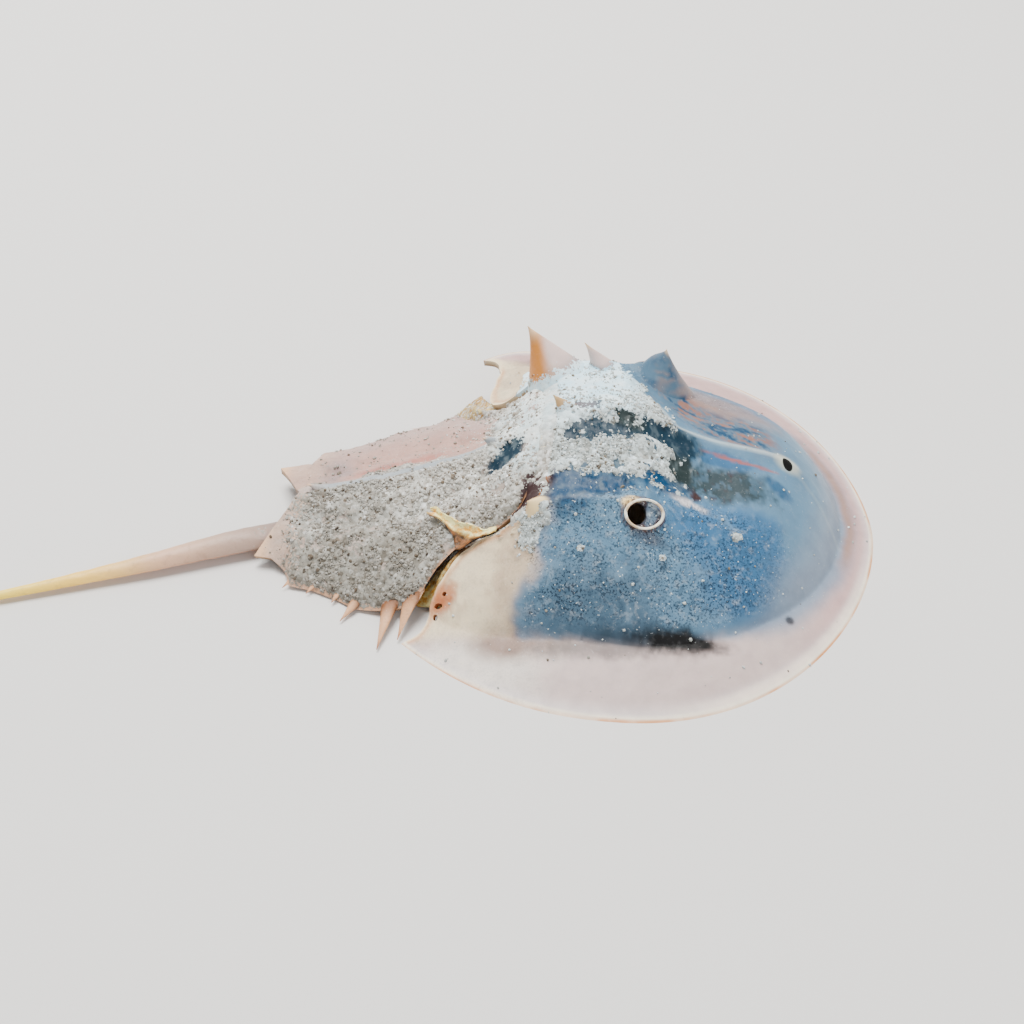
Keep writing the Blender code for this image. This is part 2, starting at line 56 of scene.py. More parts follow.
# Head shield outline and heights
HEAD_WIDEST_BACK = 41.6
NOSE_POWER = 2.145
FLANK_POWER = 1.753
LEVEL_POWER = 1.95
CORNER_BACK = 75.2
CORNER_SIDE = 32.2
CORNER_SWEEP = 2.2
FRONT_ARC_ANGLE = math.radians(45)
HEAD_REAR_EDGE = [(54.0, 0.0), (54.0, 5.4), (54.6, 11.5), (56.2, 16.6), (58.6, 18.0), (61.3, 18.2),
                  (64.3, 17.8), (67.1, 19.1), (69.5, 22.1), (71.0, 25.2), (71.4, 28.2), (72.7, 30.8),
                  (75.2, 32.2)]
FLANGE_TOP = [(0, 4.5), (50, 4.5), (74, 3.2)]
FLANGE_RISE = [(0, 18.5), (50, 18.5), (74, 10.0)]
DOME_FRONT_BACK = 5.9
DOME_HALF_WIDTH = [(0, 32.4), (50, 32.4), (64, 31.0), (74, 27.0)]
DOME_RISE = [(5.9, 18.0), (16, 17.5), (22, 15.3), (27, 14.2), (31, 14.3), (35, 15.4), (40, 17.3), (46, 18.4),
             (51, 18.2), (54, 17.4), (57.5, 14.6), (63, 9.2), (69, 5.8), (75, 1.6)]
DOME_NOSE_POWER = 2.1
DOME_FULLNESS = 0.87
CREST_HEIGHT, CREST_WIDTH, CREST_START = 0.9, 1.5, (10.0, 8.0)
RIDGE_SIDE, RIDGE_HEIGHT, RIDGE_WIDTH = 17.6, 1.3, 1.9
RIDGE_START, RIDGE_END = (33.0, 6.0), (66.0, 8.0)
FURROW_SIDE, FURROW_DEPTH, FURROW_WIDTH, FURROW_START = 9.0, 0.9, 3.2, (20.0, 12.0)
EYE_BACK, EYE_SIDE, EYE_MOUND, EYE_MOUND_WIDTH = 38.9, 19.3, 1.6, 4.2

# The left rear corner, curled up as it dried
CURL_HEIGHT, CURL_PULL = 8.5, 6.0
CURL_START_BACK, CURL_START_SIDE = 46.0, 16.0
CURL_END_SIDE, CURL_PULL_END_SIDE = 31.0, 28.0
CURL_ROUNDS = 12

# Eyes
EYE_LIP_LENGTH, EYE_LIP_WIDTH = 5.8, 4.4
EYE_HOLE = (1.5, 1.7)
EYE_HOLE_SHIFT = 1.05
HOLE_DEPTH, EYE_DEPTH = 4, 3
OCELLUS_BACK, OCELLUS_SIDE, OCELLUS_RADII = 16.0, -0.45, (0.88, 1.25)

# Abdomen shield
ABDOMEN_OUTLINE = [(55.9, 10.4), (58.4, 15.6), (61.3, 16.2), (64.6, 15.4), (68.4, 16.6), (70.8, 19.1),
                   (72.6, 22.4), (75.4, 23.6), (78.6, 23.4), (83.2, 22.2), (87.0, 19.6), (91.0, 17.5),
                   (95.0, 16.4), (96.4, 13.0), (98.8, 11.2), (101.6, 10.6)]
ABDOMEN_MIDDLE = (55.6, 96.0)
ABDOMEN_CREST = [(54, 22.6), (55.6, 21.6), (60, 17.9), (67, 13.4), (75, 10.6), (87, 7.6), (97, 5.9),
                 (102, 4.6)]
ABDOMEN_MARGIN = [(54, 19.2), (55.6, 17.8), (58.6, 14.6), (63.2, 10.4), (67, 8.4), (70.4, 6.6),
                  (73.3, 4.2), (76, 1.9), (80, 1.0), (102, 1.0)]
ABDOMEN_FULLNESS = 0.95
ABDOMEN_YAW_START, ABDOMEN_YAW = 56.0, math.radians(8.0)
ABDOMEN_ROLL_LIFT, ABDOMEN_ROLL_START = 1.2, 68.0
LEFT_PINCH_BACK, LEFT_PINCH_LENGTH, LEFT_PINCH = 89.0, 8.0, 0.11
AXIAL_FURROW_SIDE, AXIAL_FURROW_DEPTH, AXIAL_FURROW_SHARE = 0.36, 0.8, 0.12
ABDOMEN_RELIEF_START, ABDOMEN_RELIEF_END = (57.0, 6.0), (98.0, 3.0)
PIT_BACKS, PIT_DEPTH, PIT_WIDTH = [64.5, 70.0, 75.5, 81.0, 86.5, 91.5], 0.7, 1.5

# Tail spine: points of its middle line, and half width and height along it
TAIL_PATH = [(97.4, -9.8, 1.5), (103.0, -12.6, 2.0), (110.8, -16.2, 2.0), (118.0, -19.5, 1.8),
             (125.9, -22.8, 1.5), (140.5, -28.7, 1.1), (156.0, -34.6, 0.8), (172.0, -40.4, 0.5)]
TAIL_HALF_WIDTH = [(0, 3.0), (0.05, 2.9), (0.12, 2.5), (0.23, 2.1), (0.42, 1.35), (0.62, 0.8),
                   (0.8, 0.5), (1, 0.18)]
TAIL_KEEL = [(0, 0.9), (0.05, 1.4), (0.12, 1.75), (0.23, 1.5), (0.42, 1.0), (0.62, 0.65), (0.8, 0.4),
             (1, 0.18)]
TAIL_KEEL_SHARPNESS = 1.6

# Spines: back and side of the root, back, side and height of the tip, radius of the flared root
HEAD_SPINES = {
    "left_rear_spine": (54.6, 17.0, 60.0, 16.8, 27.4, 5.4),
    "left_thin_spine": (46.4, 17.2, 50.2, 16.6, 24.9, 2.6),
    "left_eye_spine": (35.6, 16.6, 36.2, 16.6, 24.3, 5.2),
    "middle_rear_spine": (51.6, 0.0, 54.4, 0.0, 26.0, 2.2),
    "middle_front_spine": (38.0, 0.0, 39.2, 0.0, 23.0, 1.5),
    "right_rear_stub": (54.8, -17.8, 57.0, -18.3, 18.9, 2.9),
    "right_eye_stub": (37.6, -15.6, 38.6, -15.2, 20.9, 1.9),
}
ABDOMEN_SPINES = {
    "right_edge_spine_1": (74.3, -24.4, 75.9, -32.2, 1.0, 1.7),
    "right_edge_spine_2": (77.8, -25.0, 78.7, -34.4, 0.8, 1.5),
    "right_edge_spine_3": (83.2, -24.4, 85.5, -28.9, 0.8, 1.2),
    "right_edge_spine_4": (86.4, -22.6, 87.6, -25.0, 0.9, 0.9),
    "right_edge_tooth_5": (90.2, -20.8, 92.0, -23.4, 0.9, 0.7),
    "right_edge_tooth_6": (93.8, -20.0, 96.0, -22.4, 0.9, 0.7),
    "left_edge_spine_1": (78.0, 19.4, 81.4, 20.6, 1.2, 1.2),
    "left_edge_spine_2": (81.6, 17.4, 85.0, 18.2, 1.2, 1.2),
    "left_edge_spine_3": (85.2, 14.4, 88.6, 15.2, 1.4, 1.2),
    "left_edge_spine_4": (88.8, 11.6, 92.2, 12.4, 1.6, 1.1),
    "left_edge_spine_5": (92.2, 10.4, 95.4, 11.1, 1.8, 1.1),
    "front_crest_spine": (63.0, -1.0, 65.8, -1.4, 17.4, 1.6),
    "rear_crest_spine": (91.5, -5.0, 94.6, -5.5, 8.8, 1.6),
}

# Where sand still crusts the head shield, and the windows where it has flaked off: back and side
HEAD_CRUST = [(62, 21), (65, 25.5), (58, 25.5), (50, 21.5), (45.5, 18.0), (42.5, 12.8), (38, 7),
              (35, 1.0), (33, -2.6), (32.4, -5.5), (33.6, -8.5), (33.0, -12.6), (36, -13.2), (39, -12.6),
              (41.5, -14.4), (45, -13.2), (50, -13.4), (53, -17.0), (53.8, -20.5), (55.6, -23.0),
              (57.6, -22.0), (58.5, -20.0), (62, -18), (60, 0)]
HEAD_WINDOWS = [
    ("navy", (51.2, -15.0), (3.2, 2.7), -8), ("navy", (45.4, -15.0), (4.2, 1.1), -14),
    ("slate", (46.4, -4.2), (3.0, 1.9), 0), ("slate", (37.6, -2.4), (2.8, 1.6), 20),
    ("slate", (33.6, -3.0), (2.4, 2.0), 10), ("umber", (55.6, -14.0), (1.2, 3.2), 0),
    ("slate", (50.8, -5.6), (1.0, 1.4), 0), ("navy", (36.6, -11.2), (3.0, 1.2), 0),
    ("slate", (41.6, -3.4), (1.4, 0.8), 10), ("olive", (42.6, -1.4), (2.0, 0.8), 15),
    ("olive", (33.8, -7.6), (1.8, 1.6), 0),
]
HEAD_CLUMPS = [((24.3, -17.1), 0.8), ((35.7, -23.5), 0.6), ((48.2, -23.5), 0.55), ((29.4, -24.6), 0.4)]
ABDOMEN_WINDOWS = [((61.3, -3.8), (2.8, 2.2)), ((56.6, -14.0), (1.5, 2.8)), ((89.0, 1.2), (3.0, 0.8)),
                   ((68.0, 1.2), (3.6, 0.9))]
CREST_LINE = [(42.5, 12.6), (38, 7), (34, 0.8), (28, 0.1), (20, 0), (16, 0), (11.1, -3.0), (6.4, -7.0)]

# Small holes in the right cheek: back, side, half length and half width, and those with a rusty edge
CHEEK_HOLES = [(70.0, -26.8, 0.75, 0.5), (70.3, -28.3, 0.45, 0.55), (69.2, -25.2, 0.4, 0.4)]
RUSTY_HOLES = [(70.0, -26.8), (69.2, -25.2)]

# Dried skin and caked sand over the joint: share of the rear edge, start and width across it
SKIN_REACH, SKIN_START, SKIN_WIDTH, SKIN_THICKNESS = 0.80, -2.2, 5.2, 0.45
BRIDGE_REACH, BRIDGE_START, BRIDGE_WIDTH, BRIDGE_THICKNESS = 0.46, -1.2, 3.9, 0.7

# The torn flap: back, side and lift along its middle line, and its half width
FLAP_LINE = [(61.8, -17.8, 0.3), (64.2, -17.5, 0.6), (66.4, -16.8, 0.8), (68.6, -15.9, 0.9),
             (70.8, -14.7, 0.9), (73.0, -13.5, 1.1)]
FLAP_HALF_WIDTH = [(0, 0.4), (0.2, 0.65), (0.4, 0.8), (0.62, 0.6), (0.8, 0.5), (0.93, 0.85), (1, 0.5)]
FLAP_THICKNESS = 0.22

# Chance of a sand grain where there is no crust
STRAY_GRAINS = 0.005

# The camera: lens in millimetres, target and distance in metres, angles in degrees
CAMERA_LENS, CAMERA_TARGET, CAMERA_DISTANCE = 51.66, (0.025065, 0.000287, 0), 0.25167
CAMERA_RISE, CAMERA_TURN = 41.339, 5.3705


def curve_through(knots, at):
    """Value at each place of a smooth curve through the knots."""
    places, values = np.array(knots, float).T
    slopes = np.gradient(values, places)
    at = np.clip(at, places[0], places[-1])
    first = np.clip(np.searchsorted(places, at) - 1, 0, len(places) - 2)
    span = places[first + 1] - places[first]
    t = (at - places[first]) / span
    from_value = (2 * t ** 3 - 3 * t ** 2 + 1) * values[first] + (3 * t ** 2 - 2 * t ** 3) * values[first + 1]
    from_slope = (t ** 3 - 2 * t ** 2 + t) * slopes[first] + (t ** 3 - t ** 2) * slopes[first + 1]
    return from_value + span * from_slope


def path_through(points, t):
    """Points at the fractions t of a smooth path that passes through the points in turn."""
    points = np.array(points, float)
    steps = np.linalg.norm(np.diff(points, axis=0), axis=1)
    places = np.concatenate([[0], np.cumsum(steps)]) / steps.sum()
    return np.stack([curve_through(np.stack([places, column], 1), t) for column in points.T], -1)


def smooth_step(value):
    value = np.clip(value, 0, 1)
    return value * value * (3 - 2 * value)


def bump(value, width):
    return np.exp(-(value / width) ** 2)


def rise(value, start, length):
    """0 up to the start, 1 from a length past it, smooth between them."""
    return smooth_step((value - start) / length)


def fall(value, end, length):
    """1 up to a length before the end, 0 from the end on, smooth between them."""
    return smooth_step((end - value) / length)


def unevenness(points, size, seed):
    """Smooth noise between 0 and 1 over points in millimetres, with lumps of about one size."""
    table = np.random.default_rng(seed).random((32, 32, 32))
    cell = points / size + 64.37
    corner = np.floor(cell).astype(int)
    share = smooth_step(cell - corner)
    total = 0
    for pick in np.ndindex(2, 2, 2):
        weight = np.prod(np.where(pick, share, 1 - share), axis=-1)
        place = (corner + pick) % 32
        total = total + weight * table[place[..., 0], place[..., 1], place[..., 2]]
    return total


def lumps(points, size, seed):
    """Unevenness of several sizes at once, between 0 and 1, its middle at 0.5."""
    return (0.5 * unevenness(points, size, seed) + 0.3 * unevenness(points, size / 2.1, seed + 1)
            + 0.2 * unevenness(points, size / 4.3, seed + 2))


def sway(points, size, seed, reach):
    """Lumps about zero, up to half the reach either way."""
    return (lumps(points, size, seed) - 0.5) * reach


# The shape of the head shield

def head_half_width(back):
    behind = np.clip((back - HEAD_WIDEST_BACK) / (CORNER_BACK - HEAD_WIDEST_BACK), 0, None)
    return HEAD_WIDTH / 2 - (HEAD_WIDTH / 2 - CORNER_SIDE) * behind ** CORNER_SWEEP


def margin_level(back, side):
    """0 on the widest line's middle, 1 on the outer margin of the head shield."""
    ahead = np.clip((HEAD_WIDEST_BACK - back) / HEAD_WIDEST_BACK, 0, 1)
    across = np.abs(side) / head_half_width(back)
    return (ahead ** NOSE_POWER + across ** FLANK_POWER) ** (1 / LEVEL_POWER)


def head_relief(back, side):
    crest = CREST_HEIGHT * bump(side, CREST_WIDTH) * rise(back, *CREST_START)
    ridge = RIDGE_HEIGHT * bump(np.abs(side) - RIDGE_SIDE, RIDGE_WIDTH)
    ridge = ridge * rise(back, *RIDGE_START) * fall(back, *RIDGE_END)
    furrow = FURROW_DEPTH * bump(np.abs(side) - FURROW_SIDE, FURROW_WIDTH) * rise(back, *FURROW_START)
    eye = EYE_MOUND * bump(np.hypot(back - EYE_BACK, np.abs(side) - EYE_SIDE), EYE_MOUND_WIDTH)
    return crest + ridge - furrow + eye


def dome_inside(back, side):
    """How far inside the dome's foot a place is: 0 on it and beyond, 1 at the middle."""
    ahead = np.clip((HEAD_WIDEST_BACK - back) / (HEAD_WIDEST_BACK - DOME_FRONT_BACK), 0, None)
    return 1 - ahead ** DOME_NOSE_POWER - (side / curve_through(DOME_HALF_WIDTH, back)) ** 2


def head_height(back, side):
    top = curve_through(FLANGE_TOP, back)
    inward = np.clip(1 - margin_level(back, side), 0, 1) * curve_through(FLANGE_RISE, back) / top
    flange = top * inward / (1 + inward ** 4) ** 0.25
    inside = np.clip(dome_inside(back, side), 0, 1)
    dome = curve_through(DOME_RISE, back) * inside ** DOME_FULLNESS
    return flange + dome + head_relief(back, side) * smooth_step(inside * 4)


def curl_at(back, side):
    """How far the curled corner is raised and pulled ahead."""
    curl = smooth_step((back - CURL_START_BACK) / (CORNER_BACK - CURL_START_BACK))
    lift = curl * smooth_step((side - CURL_START_SIDE) / (CURL_END_SIDE - CURL_START_SIDE))
    pull = curl * smooth_step((side - CURL_START_SIDE) / (CURL_PULL_END_SIDE - CURL_START_SIDE))
    return CURL_HEIGHT * lift, CURL_PULL * pull


def head_surface(back, side):
    lift, pull = curl_at(back, side)
    return np.stack([TOTAL_LENGTH / 2 - back + pull, side, head_height(back, side) + lift], -1)


def head_middle(back):
    return 0 * back


def front_arc(t):
    angle = t * FRONT_ARC_ANGLE
    back = HEAD_WIDEST_BACK * (1 - np.cos(angle) ** (2 / NOSE_POWER))
    return np.stack([back, HEAD_WIDTH / 2 * np.sin(angle) ** (2 / FLANK_POWER)], -1)


def side_arc(t):
    """The outer margin from the front arc's end, past the widest point, to the rear corner."""
    angle = FRONT_ARC_ANGLE + (math.pi / 2 - FRONT_ARC_ANGLE) * np.clip(2 * t, 0, 1)
    behind = HEAD_WIDEST_BACK + (CORNER_BACK - HEAD_WIDEST_BACK) * np.clip(2 * t - 1, 0, 1)
    ahead = HEAD_WIDEST_BACK * (1 - np.abs(np.cos(angle)) ** (2 / NOSE_POWER))
    ahead_side = HEAD_WIDTH / 2 * np.sin(angle) ** (2 / FLANK_POWER)
    side = np.where(t < 0.5, ahead_side, head_half_width(behind))
    return np.stack([np.where(t < 0.5, ahead, behind), side], -1)


def head_plan(across, along):
    """Back and side of the head shield's grid: a patch between its middle line and its edges."""
    u, v = np.abs(across)[:, None], along[:, None]
    middle = np.stack([HEAD_REAR_EDGE[0][0] * along, 0 * along], -1)
    front, outer = front_arc(u[:, 0]), side_arc(v[:, 0])
    rear = path_through(HEAD_REAR_EDGE, u[:, 0])
    ragged = unevenness(np.stack([across * 60, 0 * across, 0 * across], -1), 1.3, 40) - 0.5
    rear = rear - 0.6 * (ragged * smooth_step((0.97 - u[:, 0]) / 0.1))[:, None] * np.array([1, 0])
    tip, shoulder = front_arc(np.array([0.0])), front_arc(np.array([1.0]))
    hinge, corner = np.array([HEAD_REAR_EDGE[0]]), np.array([HEAD_REAR_EDGE[-1]])
    blend = (1 - v) * front + v * rear + (1 - u) * middle + u * outer
    corners = (1 - u) * (1 - v) * tip + u * (1 - v) * shoulder + (1 - u) * v * hinge + u * v * corner
    plan = blend - corners
    return plan[:, 0], plan[:, 1] * np.sign(across)


# The shape of the abdomen shield

def abdomen_middle(back):
    return -(back - ABDOMEN_YAW_START) * math.tan(ABDOMEN_YAW)


def abdomen_half_width(back):
    outline = ABDOMEN_OUTLINE[:-2]
    return np.interp(back, [p[0] for p in outline], [p[1] for p in outline])


def abdomen_surface(back, side):
    """Points of the abdomen shield's outer surface; side is measured from its own middle line."""
    across = np.clip(np.abs(side) / abdomen_half_width(back), 0, 1)
    low = curve_through(ABDOMEN_MARGIN, back)
    height = low + (curve_through(ABDOMEN_CREST, back) - low) * (1 - across ** 2) ** ABDOMEN_FULLNESS
    shape = rise(back, *ABDOMEN_RELIEF_START) * fall(back, *ABDOMEN_RELIEF_END)
    height = height + CREST_HEIGHT * bump(side, CREST_WIDTH) * shape
    height = height - AXIAL_FURROW_DEPTH * bump(across - AXIAL_FURROW_SIDE, AXIAL_FURROW_SHARE) * shape
    for pit_back in PIT_BACKS:
        pit_side = AXIAL_FURROW_SIDE * abdomen_half_width(pit_back)
        height = height - PIT_DEPTH * bump(np.hypot(back - pit_back, np.abs(side) - pit_side), PIT_WIDTH)
    far = smooth_step((back - ABDOMEN_ROLL_START) / (ABDOMEN_MIDDLE[1] - ABDOMEN_ROLL_START))
    height = height + ABDOMEN_ROLL_LIFT * far * smooth_step(side / abdomen_half_width(back))
    return np.stack([TOTAL_LENGTH / 2 - back, side + abdomen_middle(back), height], -1)


def abdomen_plan(across, along):
    outline = np.array(ABDOMEN_OUTLINE)
    places = np.linspace(0, 1, len(outline))
    edge_back = np.interp(along, places, outline[:, 0])
    edge_side = np.interp(along, places, outline[:, 1])
    middle_back = ABDOMEN_MIDDLE[0] + (ABDOMEN_MIDDLE[1] - ABDOMEN_MIDDLE[0]) * along
    u = np.abs(across)
    pinch = 1 - LEFT_PINCH * bump(edge_back - LEFT_PINCH_BACK, LEFT_PINCH_LENGTH) * (across > 0)
    return middle_back + (edge_back - middle_back) * u, edge_side * across * pinch


def surface_normal(surface, back, side):
    along = surface(back + NORMAL_STEP, side) - surface(back - NORMAL_STEP, side)
    across = surface(back, side + NORMAL_STEP) - surface(back, side - NORMAL_STEP)
    normal = np.cross(across, along)
    return normal / np.linalg.norm(normal, axis=-1, keepdims=True)


def height_under(surface, back, side):
    """Height just clear of the underside of a wall whose outer surface is given."""
    upright = np.clip(surface_normal(surface, back, side)[:, 2], STEEPEST_UPRIGHT, 1)
    return surface(back, side)[:, 2] - (CAD_WALL + PIECE_GAP) / upright


def frame_on(surface, back, side):
    """Point, tangent towards the rear, tangent to the side and normal, at one place."""
    point = surface(np.array([back]), np.array([side]))[0]
    normal = surface_normal(surface, np.array([back]), np.array([side]))[0]
    rearward = np.array([-1.0, 0, 0]) + normal * normal[0]
    rearward = rearward / np.linalg.norm(rearward)
    return point, rearward, np.cross(normal, rearward), normal


def quarter_turn(ahead):
    """Directions in plan at right angles to the given ones."""
    outward = np.stack([ahead[:, 1], -ahead[:, 0]], -1)
    return outward / np.linalg.norm(outward, axis=1, keepdims=True)


def off_rear_edge(across, reach, away):
    """Back and side of places away from the head shield's rear edge, within a share of its length."""
    share = np.abs(across) * reach
    edge = path_through(HEAD_REAR_EDGE, share)
    ahead = path_through(HEAD_REAR_EDGE, share + 0.01) - edge
    plan = edge + quarter_turn(ahead) * away[:, None]
    return plan[:, 0], np.abs(plan[:, 1]) * np.sign(across)


# Mesh tools

def deselect():
    for item in bpy.context.selected_objects:
        item.select_set(False)


def select_only(item):
    deselect()
    item.select_set(True)
    bpy.context.view_layer.objects.active = item


def pick_none(kind):
    """Sets the kind of element to pick in the active mesh, with none of them picked."""
    bpy.ops.object.mode_set(mode="EDIT")
    bpy.ops.mesh.select_mode(type=kind)
    bpy.ops.mesh.select_all(action="DESELECT")
    bpy.ops.object.mode_set(mode="OBJECT")


def read_points(item):
    flat = np.empty(len(item.data.vertices) * 3)
    item.data.vertices.foreach_get("co", flat)
    return flat.reshape(-1, 3)


def write_points(item, points):
    item.data.vertices.foreach_set("co", np.ascontiguousarray(points, float).ravel())
    item.data.update()


def store(item, name, values):
    """Keeps one number, or one colour, for each point of a mesh."""
    kind = "FLOAT" if values.ndim == 1 else "FLOAT_COLOR"
    layer = item.data.attributes.get(name) or item.data.attributes.new(name, kind, "POINT")
    if kind == "FLOAT":
        layer.data.foreach_set("value", values.astype(float))
    else:
        layer.data.foreach_set("color", np.concatenate([values, np.ones((len(values), 1))], 1).ravel())


def stored(item, name):
    values = np.zeros(len(item.data.vertices))
    layer = item.data.attributes.get(name)
    if layer:
        layer.data.foreach_get("value", values)
    return values


def name_item(name):
    item = bpy.context.active_object
    item.name = name
    item.data.name = name
    return item


def sheet(name, columns, rows, place):
    """A sheet of quads from a grid, put in place by a function of across and along."""
    deselect()
    bpy.ops.mesh.primitive_grid_add(x_subdivisions=columns, y_subdivisions=rows, size=2)
    item = name_item(name)
    flat = read_points(item)
    write_points(item, place(flat[:, 0], (flat[:, 1] + 1) / 2) * MM)
    return item


def rod(name, sides, rings, place):
    """A closed rod from a cylinder; place takes x, y and the share of its length."""
    deselect()
    bpy.ops.mesh.primitive_cylinder_add(vertices=sides, radius=1, depth=1, end_fill_type="NGON")
    item = name_item(name)
    pick_none("EDGE")
    for edge in item.data.edges:
        low, high = (item.data.vertices[index].co.z for index in edge.vertices)
        edge.select = abs(low - high) > 0.5
    bpy.ops.object.mode_set(mode="EDIT")
    bpy.ops.mesh.subdivide(number_cuts=rings - 1)
    bpy.ops.object.mode_set(mode="OBJECT")
    flat = read_points(item)
    share = flat[:, 2] + 0.5
    write_points(item, place(flat[:, 0], flat[:, 1], share) * MM)
    store(item, "share", share)
    face_outwards(item)
    return item


def face_outwards(item):
    select_only(item)
    bpy.ops.object.mode_set(mode="EDIT")
    bpy.ops.mesh.select_all(action="SELECT")
    bpy.ops.mesh.normals_make_consistent(inside=False)
    bpy.ops.object.mode_set(mode="OBJECT")


def apply_modifier(item, kind, **settings):
    select_only(item)
    change = item.modifiers.new(kind.lower(), kind)
    for key, value in settings.items():
        setattr(change, key, value)
    bpy.ops.object.modifier_apply(modifier=change.name)


def join(items, name):
    deselect()
    for item in items:
        item.select_set(True)
    bpy.context.view_layer.objects.active = items[0]
    bpy.ops.object.join()
    return name_item(name)


def cut_holes(item, holes):
    """Takes out the faces inside each oval hole and draws the hole's edge onto the oval."""
    points = read_points(item) / MM
    centres = np.array([points[list(face.vertices)].mean(0) for face in item.data.polygons])
    lost = np.zeros(len(centres), bool)
    for (point, rearward, sideward, normal), (half_length, half_width), shift in holes:
        off = centres - point
        level = np.hypot((off @ rearward - shift) / half_length, off @ sideward / half_width)
        lost |= (level < 1) & (np.abs(off @ normal) < HOLE_DEPTH)
    select_only(item)
    pick_none("FACE")
    item.data.polygons.foreach_set("select", lost)
    bpy.ops.object.mode_set(mode="EDIT")
    bpy.ops.mesh.delete(type="FACE")
    bpy.ops.object.mode_set(mode="OBJECT")
    points = read_points(item) / MM
    faces_on = np.zeros(len(points), int)
    for face in item.data.polygons:
        faces_on[list(face.vertices)] += 1
    for (point, rearward, sideward, normal), (half_length, half_width), shift in holes:
        off = points - point
        u, w, h = off @ rearward - shift, off @ sideward, off @ normal
        level = np.hypot(u / half_length, w / half_width)
        edge = (faces_on < 4) & (level < 1.9) & (level > 0.1) & (np.abs(h) < HOLE_DEPTH)
        on_oval = point + np.outer(u / level + shift, rearward) + np.outer(w / level, sideward)
        points[edge] = (on_oval + np.outer(h, normal))[edge]
    write_points(item, points * MM)


def thicken(item, thickness, relief):
    """Gives a sheet its wall below it, then raises the outer side by the relief."""
    outer = len(item.data.vertices)
    normals = np.empty(outer * 3)
    item.data.vertex_normals.foreach_get("vector", normals)
    normals = normals.reshape(-1, 3)
    apply_modifier(item, "SOLIDIFY", thickness=thickness * MM, offset=-1, use_rim=True)
    points = read_points(item)
    points[:outer] += normals * (relief * MM)[:, None]
    points[:, 2] = np.maximum(points[:, 2], 0)
    write_points(item, points)


def flared_spine(name, surface, middle, root, slim=1.75, hollow=1.4):
    """A spine whose wide root lies along the surface and sweeps up into its point."""
    back, side, tip_back, tip_side, tip_height, radius = root
    side = side - middle(back)
    tip = np.array([TOTAL_LENGTH / 2 - tip_back, tip_side, tip_height])

    def place(x, y, share):
        reach = radius * (1 - share) ** slim + 0.07
        foot_back, foot_side = back + x * reach, side + y * reach
        feet = surface(foot_back, foot_side)
        feet = feet - surface_normal(surface, foot_back, foot_side) * 0.35
        centre = surface(np.array([back]), np.array([side]))[0]
        climb = 1 - (1 - share) ** hollow
        return feet + (tip - centre) * climb[:, None]

    item = rod(name, 20, 16, place)
    write_points(item, np.maximum(read_points(item), [-1, -1, 0]))
    return item


# Colours and where they lie

SHOWN_BLACK, SHOWN_GAIN = 60.0, 0.68


def colour(red, green, blue):
    """The pigment that shows as a colour, 0 to 255, under the soft light."""
    seen = np.clip((np.array([red, green, blue]) - SHOWN_BLACK) / SHOWN_GAIN, 5, 250) / 255
    return np.where(seen <= 0.04045, seen / 12.92, ((seen + 0.055) / 1.055) ** 2.4)


LILAC = colour(195, 171, 168)
LILAC_NEAR = colour(195, 181, 177)
PEARL = colour(222, 216, 214)
CREAM = colour(232, 217, 190)
ORANGE = colour(205, 150, 98)
CHEEK = colour(213, 201, 178)
FLANK = colour(122, 146, 163)
FLANK_LOW = colour(108, 125, 138)
FLANK_FRONT = colour(98, 127, 151)
FLANK_FORE = colour(142, 165, 181)
FLANK_EDGE = colour(152, 160, 171)
FLANK_TOP = colour(98, 132, 160)
MAUVE = colour(156, 139, 130)
# Dark brown, for real stains and for painted shade along the dome's near foot
DARK_STAIN_AND_SHADE = colour(64, 56, 56)
NAVY = colour(58, 98, 120)
SLATE = colour(72, 90, 100)
UMBER = colour(98, 86, 86)
OLIVE = colour(86, 94, 94)
RUST = colour(158, 126, 112)
PINK = colour(186, 160, 151)
# The underside's own tan, made darker as painted shade inside the shell
UNDERSIDE_TAN_AND_SHADE = colour(150, 126, 100)
BLACK = colour(14, 11, 12)
DUST = colour(150, 160, 162)
TINTS = {"navy": NAVY, "slate": SLATE, "umber": UMBER, "olive": OLIVE}


def laid_on(tone, *layers):
    """A tone after pairs of a mask and a tint are laid on it in turn."""
    for mask, tint in layers:
        tone = tone + (tint - tone) * np.clip(mask, 0, 1)[:, None]
    return tone


def blot(back, side, centre, radii, turn, soft, wobble=0):
    """1 inside an oval, 0 outside it, its edge as soft and as ragged as asked."""
    turn = math.radians(turn)
    u, w = back - centre[0], side - centre[1]
    along, over = u * math.cos(turn) + w * math.sin(turn), w * math.cos(turn) - u * math.sin(turn)
    level = np.hypot(along / radii[0], over / radii[1]) + wobble
    return smooth_step((1 + soft / 2 - level) / soft)


def distance_to_line(back, side, line):
    """Distance from each place to a line through points, in plan."""
    nearest = np.full(len(back), 1e9)
    place = np.stack([back, side], -1)
    for start, end in zip(line[:-1], line[1:]):
        start, end = np.array(start, float), np.array(end, float)
        run = end - start
        t = np.clip((place - start) @ run / (run @ run), 0, 1)
        nearest = np.minimum(nearest, np.linalg.norm(place - start - t[:, None] * run, axis=1))
    return nearest


def within(back, side, outline):
    """Signed distance to an outline in plan, positive inside it."""
    crossings = np.zeros(len(back), int)
    for (b0, s0), (b1, s1) in zip(outline, outline[1:] + outline[:1]):
        spans = (s0 > side) != (s1 > side)
        crossings += spans & (back < b0 + (side - s0) / ((s1 - s0) or 1e-9) * (b1 - b0))
    inside = np.where(crossings % 2 == 1, 1.0, -1.0)
    return inside * distance_to_line(back, side, outline + outline[:1])


def depth_below(surface, back, side, points):
    """Distance below an outer surface, for points whose back and side on it are known."""
    upright = np.clip(surface_normal(surface, back, side)[:, 2], 0.1, 1)
    return (surface(back, side)[:, 2] - points[:, 2]) * upright


